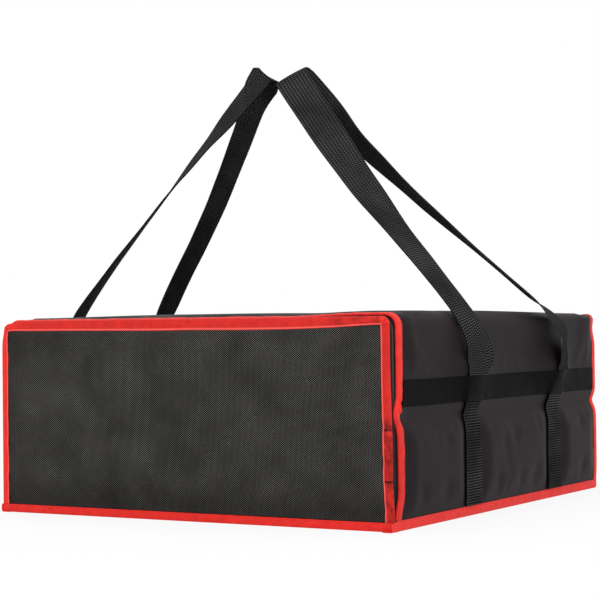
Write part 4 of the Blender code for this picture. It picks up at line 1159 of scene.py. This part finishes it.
# %% [markdown]
# ## Tape over the corners
# Where two walls meet, the tape covers the corner: one leg on each wall. The same cut-and-lay rule
# serves, with a small quarter turn between two flat legs. The back's tape runs up both sides and over the
# top, and a straight length closes it along the floor.

# %% Corner tape
CORNER_BEND = 0.0016


def round_corner(across, first_leg):
    """Two legs and a quarter turn: how far from the corner along the first wall, and along the second."""
    turn = CORNER_BEND * math.pi / 2
    straight = first_leg - CORNER_BEND
    if across <= straight:
        return first_leg - across, 0.0
    if across <= straight + turn:
        angle = (across - straight) / CORNER_BEND
        return CORNER_BEND - CORNER_BEND * math.sin(angle), CORNER_BEND - CORNER_BEND * math.cos(angle)
    return 0.0, CORNER_BEND + across - straight - turn


def corner_width(first_leg, second_leg):
    return first_leg + second_leg - 2 * CORNER_BEND + CORNER_BEND * math.pi / 2


def corner_surface(first_leg, second_leg, place_of, seed):
    width = corner_width(first_leg, second_leg)

    def place(along, across):
        first, second = round_corner(across, first_leg)
        edge = min(across, width - across)
        rough = ripple(seed, PUCKER_SIZE, along, across * 0.25) + 0.45 * ripple(seed, PUCKER_SIZE / 3, along)
        pillow = PILLOW_LIFT * (1 - SEAM_GROOVE * hill(edge, SEAM_FROM_EDGE, SEAM_SPREAD))
        lift = (PUCKER_LIFT * rough + pillow) * ramp(edge, 0, RAW_EDGE) * ramp(max(first, second), 0, 0.004)
        return place_of(along, first, second, lift)
    return place


SEAMS = []


def corner_tape(name, length, first_leg, second_leg, place_of, seed, both=False):
    """Lays the tape and notes where its seams run: along the first leg's edge, or both."""
    width = corner_width(first_leg, second_leg)
    surface = corner_surface(first_leg, second_leg, place_of, seed)
    edges = (SEAM_FROM_EDGE, width - SEAM_FROM_EDGE) if both else (SEAM_FROM_EDGE,)
    SEAMS.append((name.replace("tape", "seam"), surface, length, edges))
    return lay(cut_cloth(name, length, width, TAPE_STEP, TAPE_COLUMNS), surface)


print("corner bend", CORNER_BEND, "m")

# %% [markdown]
# ### Back, floor seams and sill
# Five lengths use the corner tape, each with its own rule of where the two legs lie. The tape under the
# flap's foot, the sill, is a straight length, and the side seams get a little lower towards it.

# %% Laying the corner tapes
def on_back(along, first, second, lift):
    """First leg on the side and top, second leg on the back."""
    out = lift if second < CORNER_BEND else 0
    x, z = arch_point(along, second - out, TOP_RADIUS, CORNER_BEND)
    return filled(Vector((x, BACK - first + (0 if out else lift), z)))


def on_back_foot(along, first, second, lift):
    """First leg under the floor, second leg up the back."""
    x = along - HALF_WIDTH + CORNER_BEND
    return filled(Vector((x, BACK - first + (lift if second > CORNER_BEND else 0), second)))


back_tape = corner_tape("back_binding_tape", arch_length(TOP_RADIUS, CORNER_BEND), BINDING_WIDTH,
                        BINDING_WIDTH, on_back, 11, both=True)
foot_tape = corner_tape("back_foot_tape", 2 * (HALF_WIDTH - CORNER_BEND), BINDING_WIDTH, BINDING_WIDTH,
                        on_back_foot, 12, both=True)
for tape in (back_tape, foot_tape):
    face_outwards(tape, (0, 1, 0), lambda centre: centre.y > BACK - 0.0002)
pick(back_tape, foot_tape)
bpy.ops.object.join()
thicken(back_tape, BINDING_THICKNESS)
finish(back_tape, "bag_body", "binding_tape", BINDING_TAPE, "back_binding")

SIDE_TAPE_START = FRONT + 0.0012


def side_tape(side, sign, seed):
    """First leg up the side, second leg under the floor; it closes the corner beside the flap's foot."""
    def on_side(along, first, second, lift):
        y = SIDE_TAPE_START + along
        low_front = 1 - 0.16 * ramp(y, MOUTH + 0.004, SIDE_TAPE_START)
        out = lift if second < CORNER_BEND else 0
        return filled(Vector((sign * (HALF_WIDTH - second + out), y, first * low_front)))

    piece = corner_tape("base_binding_tape_" + side, BACK - BINDING_WIDTH / 2 - SIDE_TAPE_START,
                        SIDE_TAPE_RISE, BINDING_WIDTH, on_side, seed)
    finish_tape(piece, "bag_body", BINDING_TAPE, "base_binding_" + side, (sign, 0, 0),
                lambda centre: centre.z > CORNER_BEND)


side_tape("left", -1, 13)
side_tape("right", 1, 14)


def on_sill(along, first, second, lift):
    """First leg up the front, second leg under the floor."""
    out = lift if second < CORNER_BEND else 0
    return Vector((along - HALF_WIDTH + CLEARANCE, FRONT + second - out, first))


sill_tape = corner_tape("sill_tape", 2 * (HALF_WIDTH - CLEARANCE), SILL_RISE, BINDING_WIDTH, on_sill, 15)
finish_tape(sill_tape, "bag_body", BINDING_TAPE, "sill_binding", (0, -1, 0),
            lambda centre: centre.z > CORNER_BEND)

# %% [markdown]
# ## Stitches
# A seam is a row of short threads, and each dives into the cloth at both ends. One stitch is modelled
# from a thin cylinder and copied along every seam. A bump pattern would be lighter, but would not catch
# light at the seams.

# %% One stitch, and a way to sew with it
STITCH_LENGTH = 0.0028
STITCH_PITCH = 0.0040
LINE_ENDS = 0.004
THREAD_RADIUS = 0.00028
BAG_MIDDLE = Vector((0, 0, HEIGHT / 2))


def make_stitch():
    bpy.ops.object.select_all(action="DESELECT")
    bpy.ops.mesh.primitive_cylinder_add(vertices=6, radius=THREAD_RADIUS, depth=STITCH_LENGTH * 0.6,
                                        rotation=(0, math.pi / 2, 0))
    stitch = bpy.context.object
    bpy.ops.object.transform_apply(location=False, rotation=True, scale=False)
    for way in (-1, 1):
        for face in stitch.data.polygons:
            face.select = face.normal.x * way > 0.9
        for part in (*stitch.data.edges, *stitch.data.vertices):
            part.select = False
        bpy.ops.object.mode_set(mode="EDIT")
        bpy.ops.mesh.select_mode(type="FACE")
        bpy.ops.mesh.extrude_region_move(TRANSFORM_OT_translate={
            "value": (way * STITCH_LENGTH * 0.2, 0, -THREAD_RADIUS * 1.4)})
        bpy.ops.transform.resize(value=(1, 0.5, 0.5))
        bpy.ops.object.mode_set(mode="OBJECT")
    return stitch


def sew(name, body, slot, material, surface, lines):
    """Stitches along lines of (u, v) points on a surface(u, v)."""
    pattern = make_stitch()
    row = []
    for line in lines:
        for (u0, v0), (u1, v1) in zip(line, line[1:]):
            length = math.hypot(u1 - u0, v1 - v0)
            count = max(1, round(length / STITCH_PITCH))
            step_u, step_v = (u1 - u0) / count, (v1 - v0) / count
            for k in range(count):
                u, v = u0 + step_u * (k + 0.5), v0 + step_v * (k + 0.5)
                point = surface(u, v)
                behind = surface(u - step_u / 4, v - step_v / 4)
                run = (surface(u + step_u / 4, v + step_v / 4) - behind).normalized()
                beside = surface(u - step_v / 8, v + step_u / 8) - point
                out = run.cross(beside).normalized()
                if out.dot(point - BAG_MIDDLE) < 0:
                    out = -out
                turn = Matrix((run, out.cross(run), out)).transposed().to_4x4()
                stitch = pattern.copy()
                stitch.data = pattern.data.copy()
                stitch.data.transform(Matrix.Translation(point + out * THREAD_RADIUS * 0.5) @ turn)
                bpy.context.scene.collection.objects.link(stitch)
                row.append(stitch)
    bpy.data.objects.remove(pattern)
    pick(*row)
    bpy.ops.object.join()
    row[0].name = name
    finish(row[0], body, slot, material)


def along_edge(length, across):
    """A line along a tape; across is a distance from its edge, or a rule for it."""
    count = max(1, round((length - 2 * LINE_ENDS) / STITCH_PITCH))
    places = [LINE_ENDS + (length - 2 * LINE_ENDS) * k / count for k in range(count + 1)]
    return [(u, across(u) if callable(across) else across) for u in places]


sew("flap_binding_seam", "front_flap", "binding_tape", THREAD_RED, flap_surface,
    [along_edge(FLAP_LENGTH, lambda u: SEAM_FROM_EDGE / flap_leg(u))])
sew("mouth_binding_seam", "bag_body", "binding_tape", THREAD_RED, mouth_surface,
    [along_edge(MOUTH_LENGTH, lambda u: SEAM_FROM_EDGE / mouth_leg(u))])
for name, surface, length, edges in SEAMS:
    sew(name, "bag_body", "binding_tape", THREAD_RED, surface, [along_edge(length, edge) for edge in edges])

# %% [markdown]
# ## Zip
# The moulded teeth, stops, slider and pull keep their solids, because they have to mesh and slide, and
# only get their finish. The two woven tapes beside the teeth are soft: one lies inside the mouth and
# follows its edge, the other turns back from the flap into the zip's plane.

# %% Zip tapes
body_tape_low, body_tape_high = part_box("zip_tape_body")
flap_tape_low, flap_tape_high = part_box("zip_tape_flap")
TAPE_THICKNESS = 0.0005
TAPE_INSET = FOLD_DEPTH + CLEARANCE


def on_mouth_inside(along, across):
    y = body_tape_low.y + across
    x, z = arch_point(along, TAPE_INSET, TOP_RADIUS, MOUTH_FOOT)
    straight = Vector((x, y, z))
    return straight.lerp(filled(straight), ramp(y, body_tape_low.y, MOUTH + 0.003))


def on_flap_inside(along, across):
    """Back from the flap to the teeth, after a turn against the flap's inner face."""
    leg = flap_tape_high.y - flap_tape_low.y
    x, z = arch_point(along, TAPE_INSET + max(0.0, across - leg), TOP_RADIUS, MOUTH_FOOT)
    return Vector((x, flap_tape_high.y - across if across < leg else flap_tape_low.y, z))


TAPE_FOOT = 0.010
body_tape_width = body_tape_high.y - body_tape_low.y
flap_tape_width = flap_tape_high.y - flap_tape_low.y + TAPE_FOOT
for name, node, body, width, place in (
        ("zip_tape_mouth_side", "zip_tape_body", "bag_body", body_tape_width, on_mouth_inside),
        ("zip_tape_flap_side", "zip_tape_flap", "front_flap", flap_tape_width, on_flap_inside)):
    tape = lay(cut_cloth(name, MOUTH_LENGTH, width, 0.004, 12), place)
    face_outwards(tape, (0, 0, 1), lambda centre: centre.z > HEIGHT - TAPE_INSET - 0.001)
    thicken(tape, TAPE_THICKNESS)
    finish(tape, body, "zip_tape", ZIP_TAPE, node)

for node, material in (("zip_teeth_body", ZIP_PLASTIC), ("zip_teeth_flap", ZIP_PLASTIC),
                       ("zip_stop_left", ZIP_PLASTIC), ("zip_slider", LACQUER), ("zip_pull", LACQUER)):
    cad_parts[node].data.materials.clear()
    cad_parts[node].data.materials.append(material)

# %% [markdown]
# ## Webbing on the sides
# Four strips of webbing run up the sides, and a satin ribbon crosses over them. Webbing is stiff across
# and soft along, so where the wall folds it narrows a little and leans, which gives the waist seen under
# the band. Strips are cut with a mesh fine enough for that, laid on the wall, and moved with it.

# %% Straps and bands
WEBBING_THICKNESS = 0.0016
BAND_THICKNESS = 0.0005
BAND_STEP = 0.0045
BOX_MARGIN = 0.0045
WAIST = 0.10
WEBBING_EDGE = 0.0005
STRAP_LEANS = {"left": (0.0, 0.0), "right": (-0.0020, 0.0096)}


def on_wall(sign, y, z, out):
    """A place on the full bag's side, out metres off the wall."""
    return filled(Vector((sign * HALF_WIDTH, y, z))) + Vector((sign * out, 0, 0))


def strap_lean(side, k, z):
    """How far a strap has been dragged along the bag under the band, towards its handle's pull."""
    return STRAP_LEANS[side][k] * ramp(z, BAND_LOW - 0.012, BAND_TOP)


def round_edges(piece):
    apply_modifier(piece, "BEVEL", width=WEBBING_EDGE, segments=2, limit_method="ANGLE",
                   angle_limit=math.radians(50))


def make_strap(side, sign, k, label, seed):
    low, high = STRAPS[side][k]
    name = "strap_" + side + "_" + label
    webbing = high.y - low.y
    piece = cut_cloth(name + "_webbing", high.z - low.z, webbing, 0.0035, 14)

    def place(along, across):
        z = low.z + along
        fold = crease_height(low.y)
        waist = hill(z, fold + 0.004, 0.009)
        sway = 0.0015 * ripple(seed, 0.06, z) * ramp(z, BAND_TOP, BAND_LOW)
        lean = sway + 0.0012 * waist + strap_lean(side, k, z)
        y = low.y + webbing / 2 + (across - webbing / 2) * (1 - WAIST * waist) + lean
        cup = 0.0004 * abs(across / webbing * 2 - 1) ** 2 + 0.0005 * ripple(seed + 1, 0.03, z, across)
        press = 0.0008 * waist + CLEARANCE
        out = WEBBING_THICKNESS + press + max(0.0, cup)
        return on_wall(sign, y, z, out)

    lay(piece, place)
    face_outwards(piece, (sign, 0, 0))
    thicken(piece, WEBBING_THICKNESS)
    round_edges(piece)
    finish(piece, "bag_body", "webbing", WEBBING, name)


def make_band(side, sign, seed):
    """The ribbon steps up over each strap and sinks a little between them."""
    low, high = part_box("side_band_" + side)
    piece = cut_cloth("side_band_" + side + "_ribbon", high.y - low.y, high.z - low.z, 0.003, 14)

    def place(along, across):
        y = low.y + along
        z = low.z + across + 0.0006 * ripple(seed, 0.08, y)
        over = 0.0
        for k, (middle, half) in enumerate(SPANS[side]):
            beside = abs(y - middle - strap_lean(side, k, z))
            over = max(over, ramp(beside, half + BAND_STEP, half - 0.001))
        wrinkle = 0.0007 * max(0.0, ripple(seed + 1, 0.022, y, z * 0.4)) * (1 - over)
        out = CLEARANCE + BAND_THICKNESS + over * (WEBBING_THICKNESS + 2 * CLEARANCE) + wrinkle
        return on_wall(sign, y, z, out)

    lay(piece, place)
    face_outwards(piece, (sign, 0, 0))
    thicken(piece, BAND_THICKNESS)
    finish(piece, "bag_body", "ribbon", RIBBON, "side_band_" + side)
    rise = high.z - low.z
    for k, (label, (strap_low, strap_high)) in enumerate(zip(("front", "rear"), STRAPS[side])):
        corners = []
        for rise_share in (BOX_MARGIN, rise - BOX_MARGIN):
            drag = strap_lean(side, k, low.z + rise_share) - low.y
            corners.append((strap_low.y + drag + BOX_MARGIN, rise_share))
            corners.append((strap_high.y + drag - BOX_MARGIN, rise_share))
        low_left, low_right, top_left, top_right = corners
        lines = [[low_left, low_right, top_right, top_left, low_left], [low_left, top_right],
                 [top_left, low_right]]
        sew("box_stitch_" + side + "_" + label, "bag_body", "webbing", THREAD_BLACK, place, lines)


for side, sign in (("left", -1), ("right", 1)):
    for k, label in enumerate(("front", "rear")):
        make_strap(side, sign, k, label, 20 + 3 * k + sign)
    make_band(side, sign, 30 + sign)

# %% [markdown]
# ## Handles
# Each handle is one length of webbing. It leaves the side flat, twists a quarter turn or so on its way,
# folds over the hand at the top and comes down to the other strap. The middle line and the twist repeat
# the values that the solid was made with. A curve with a tilt would twist too, but this keeps the fold at
# the top clean.

# %% Handle route
STRAP_FACE = HALF_WIDTH + CLEARANCE
HANDLE_LEAD = 0.006
HANDLE_BULGE = 0.013
HANDLE_BULGE_RISE = 0.030
BULGE_LEAN_SHARE = 0.28
HANDLE_EDGE_STANDOFF = 0.0050
HANDLE_EDGE_RISE = 0.002
HANDLE_CREST = (0.0135, -0.080, 0.512)
CREST_BEND_RADII = {"left": 0.0012, "right": 0.0048}
CREST_BEND_LENGTH = 0.0080
CREST_SKEW_LENGTH = 0.060
CREST_SLOPE_SHARES = (0.753, 0.447, 0.480)
CREST_SHOULDERS = {"left": (0.0, 0.0), "right": (0.0, 0.0028)}
HANDLE_STEP = 0.0045
WEBBING_WIDTH = STRAPS["right"][0][1].y - STRAPS["right"][0][0].y
LIFT_SHARES = ((0.0, 0.0), (0.11, 0.0), (0.22, 1.0), (1.0, 1.0))
SOFTENING_ROUNDS = 10
FOLD_STATIONS = 9
PLAIN_BULGE = (HANDLE_BULGE, HANDLE_BULGE_RISE, BULGE_LEAN_SHARE)
# A leg: its lean and bow along the bag, its bulge, and its turn to the crest's slope by share of its length.
RIGHT_FRONT_LEG = (-0.024, -0.0155, (0.012, 0.020, 0.09),
                   ((0.0, 0.10), (0.02, 0.38), (0.06, 0.47), (0.12, 0.11), (0.24, 0.14), (0.42, 0.22),
                    (0.60, 0.53), (0.80, 0.85), (1.0, 1.0)))
RIGHT_REAR_LEG = (-0.0147, -0.0197, (0.0166, 0.0345, 0.42),
                  ((0.0, 0.13), (0.02, 0.19), (0.06, 0.23), (0.16, 0.27), (0.35, 0.25), (0.58, 0.33),
                   (0.75, 0.43), (1.0, 1.0)))
LEFT_FRONT_LEG = (-0.024, -0.010, PLAIN_BULGE,
                  ((0.0, 0.0), (0.03, 0.0), (0.16, 0.24), (0.35, 0.35), (0.55, 0.44), (0.75, 0.62),
                   (0.86, 0.84), (1.0, 1.0)))
LEFT_REAR_LEG = (-0.050, 0.011, PLAIN_BULGE,
                 ((0.0, 0.0), (0.05, 0.0), (0.60, 0.03), (0.86, 0.08), (0.97, 0.40), (1.0, 1.0)))
HINGE_REACH = 0.035


def smooth_route(points, spacing):
    """A curve through the points, with a step about every spacing along it."""
    padded = [points[0] * 2 - points[1]] + points + [points[-1] * 2 - points[-2]]
    route = []
    for i in range(1, len(padded) - 2):
        a, b, c, d = padded[i - 1:i + 3]
        steps = max(1, round((c - b).length / spacing))
        for step in range(steps):
            t = step / steps
            spread = (2 * a - 5 * b + 4 * c - d) * t * t + (3 * b - a - 3 * c + d) * t ** 3
            route.append((2 * b + (c - a) * t + spread) / 2)
    return route + [points[-1]]


def read_shares(table, where):
    for (low, first), (high, second) in zip(table, table[1:]):
        if where <= high:
            return first + (second - first) * ramp(where, low, high)
    return table[-1][1]


def leg_route(sign, strap_y, drag, lean, bow, bulge_shape):
    """From the strap, dragged along the bag, over a bulge and past the bag's edge to the crest."""
    out, rise, lean_share = bulge_shape
    foot = Vector((sign * (STRAP_FACE + WEBBING_THICKNESS / 2), strap_y + drag, BAND_TOP + CLEARANCE))
    lead = foot + Vector((0, 0, HANDLE_LEAD))
    bulge = Vector((sign * (HALF_WIDTH + out), strap_y + drag + lean * lean_share, BAND_TOP + rise))
    edge = Vector((sign * (HALF_WIDTH + HANDLE_EDGE_STANDOFF), strap_y + lean, HEIGHT + HANDLE_EDGE_RISE))
    crest = Vector((sign * HANDLE_CREST[0], *HANDLE_CREST[1:]))
    middle = (edge + crest) / 2 + Vector((0, bow, 0))
    return [foot] + smooth_route([lead, bulge, edge, middle, crest], HANDLE_STEP)


def leg_turns(route, way, crest_side, table):
    """The direction of the webbing's width at each point."""
    lengths = [0.0]
    for a, b in zip(route, route[1:]):
        lengths.append(lengths[-1] + (b - a).length)
    turns = []
    for i, length in enumerate(lengths):
        where = length / lengths[-1]
        rise = route[min(i + 1, len(route) - 1)] - route[max(i - 1, 0)]
        on_side = rise.cross(Vector((way, 0, 0))).normalized()
        lifted = read_shares(LIFT_SHARES, where)
        flat = on_side * (1 - lifted) + Vector((0, way, 0)) * lifted
        share = read_shares(table, where)
        turns.append(flat * (1 - share) + crest_side * share)
    return turns


def crest_fold(crest, up, down, radius):
    """Points round a bend of this radius between the two legs' directions from the crest."""
    half_angle = up.angle(down) / 2
    middle = (up + down).normalized()
    sideways = (up - down).normalized()
    centre = crest + middle * (radius / math.sin(half_angle))
    swing = math.pi / 2 - half_angle
    fold = []
    for k in range(FOLD_STATIONS):
        angle = swing - 2 * swing * k / (FOLD_STATIONS - 1)
        fold.append(centre + sideways * (radius * math.sin(angle)) - middle * (radius * math.cos(angle)))
    return fold


def handle_stations(side, sign, front, rear):
    """Middle points, width directions and squareness along the whole handle."""
    crest_side = Vector((sign * CREST_SLOPE_SHARES[0], *CREST_SLOPE_SHARES[1:]))
    legs = []
    for (middle, _), drag, (*line, table), way, shoulder in zip(
            SPANS[side], STRAP_LEANS[side], (front, rear), (1, -1), CREST_SHOULDERS[side]):
        route = leg_route(sign, middle, drag, *line)
        top = route[-1]
        route = [p + Vector((0, 1, 1)) * (shoulder * hill((p - top).length, 0.018, 0.024)) for p in route]
        turns = leg_turns(route, way, crest_side, table)
        crest = route[-1]
        legs.append([(p, t, min(1, (p - crest).length / CREST_SKEW_LENGTH)) for p, t in zip(route, turns)
                     if (p - crest).length > CREST_BEND_LENGTH * 2])
    up, down = legs
    fold = crest_fold(crest, (up[-1][0] - crest).normalized(), (down[-1][0] - crest).normalized(),
                      CREST_BEND_RADII[side])
    return up + [(p, crest_side, 0) for p in fold] + down[::-1]


print("crest", HANDLE_CREST, "m, bent to", CREST_BEND_RADII, "m")

# %% [markdown]
# ### The webbing along the route
# The flat webbing is laid along the route, one row of its mesh for each station. Rows that only copied
# the stations would show each small kink, so places and directions are softened first, except at the feet
# and the crest.

# %% Handles
def soften(values, kept):
    """Each value drawn towards its neighbours, except the kept ones."""
    for _ in range(SOFTENING_ROUNDS):
        values = [value if kept(i) else (values[i - 1] + value * 2 + values[i + 1]) / 4
                  for i, value in enumerate(values)]
    return values


def make_handle(side, sign, front, rear, seed):
    stations = handle_stations(side, sign, front, rear)
    last = len(stations) - 1
    top = max(range(last), key=lambda i: stations[i][0].z)
    crest_reach = FOLD_STATIONS // 2 + 1
    places = soften([p for p, turn, square in stations],
                    lambda i: i < 2 or i > last - 2 or abs(i - top) <= crest_reach)
    for i, place in enumerate(places):
        held = ramp(place.z, BAND_TOP + 0.034, BAND_TOP + 0.006)
        places[i] = place + Vector((sign * side_push(place.y, place.z, side) * held, 0, 0))
    run = [0.0]
    for a, b in zip(places, places[1:]):
        run.append(run[-1] + (b - a).length)
    sides = []
    tangents = []
    for i, (point, turn, square) in enumerate(stations):
        tangent = (places[min(i + 1, last)] - places[max(i - 1, 0)]).normalized()
        tangents.append(tangent)
        sides.append((turn - tangent * (turn.dot(tangent) * square)).normalized())
    sides = soften(sides, lambda i: i < 1 or i > last - 1 or abs(i - top) <= 1)
    frames = []
    for point, across, tangent in zip(places, sides, tangents):
        across = across.normalized()
        frames.append((point, across, across.cross(tangent).normalized()))
    piece = cut_cloth("handle_" + side + "_webbing", run[-1], WEBBING_WIDTH, run[-1] / (len(places) - 1), 16)
    count = len(places)
    print("handle", side, "webbing", round(run[-1], 3), "m between its feet")

    def place(along, across):
        where = min(count - 1, round(along / run[-1] * (count - 1)))
        point, width_way, face_way = frames[where]
        off = across - WEBBING_WIDTH / 2
        from_foot = min(run[where], run[-1] - run[where])
        cup = 0.0009 * (abs(off) / WEBBING_WIDTH * 2) ** 2 * ramp(from_foot, 0.03, 0.10)
        wave_out = 0.0006 * ripple(seed, 0.05, run[where], off) * ramp(from_foot, 0.02, 0.06)
        return point + width_way * off + face_way * (wave_out - cup)

    lay(piece, place)
    for loop in piece.data.uv_layers.active.data:
        loop.uv[0] = run[min(count - 1, round(loop.uv[0] / run[-1] * (count - 1)))]
    thicken(piece, WEBBING_THICKNESS, offset=0.0)
    round_edges(piece)
    hinge = (sign * STRAP_FACE, 0, BAND_TOP)
    finish(piece, "handle_" + side, "webbing", HANDLE_WEBBING_DUST_AND_SHEEN, "handle_" + side,
           bend=(hinge, (hinge[0], 0, BAND_TOP + HINGE_REACH)))


make_handle("right", 1, RIGHT_FRONT_LEG, RIGHT_REAR_LEG, 41)
make_handle("left", -1, LEFT_FRONT_LEG, LEFT_REAR_LEG, 45)
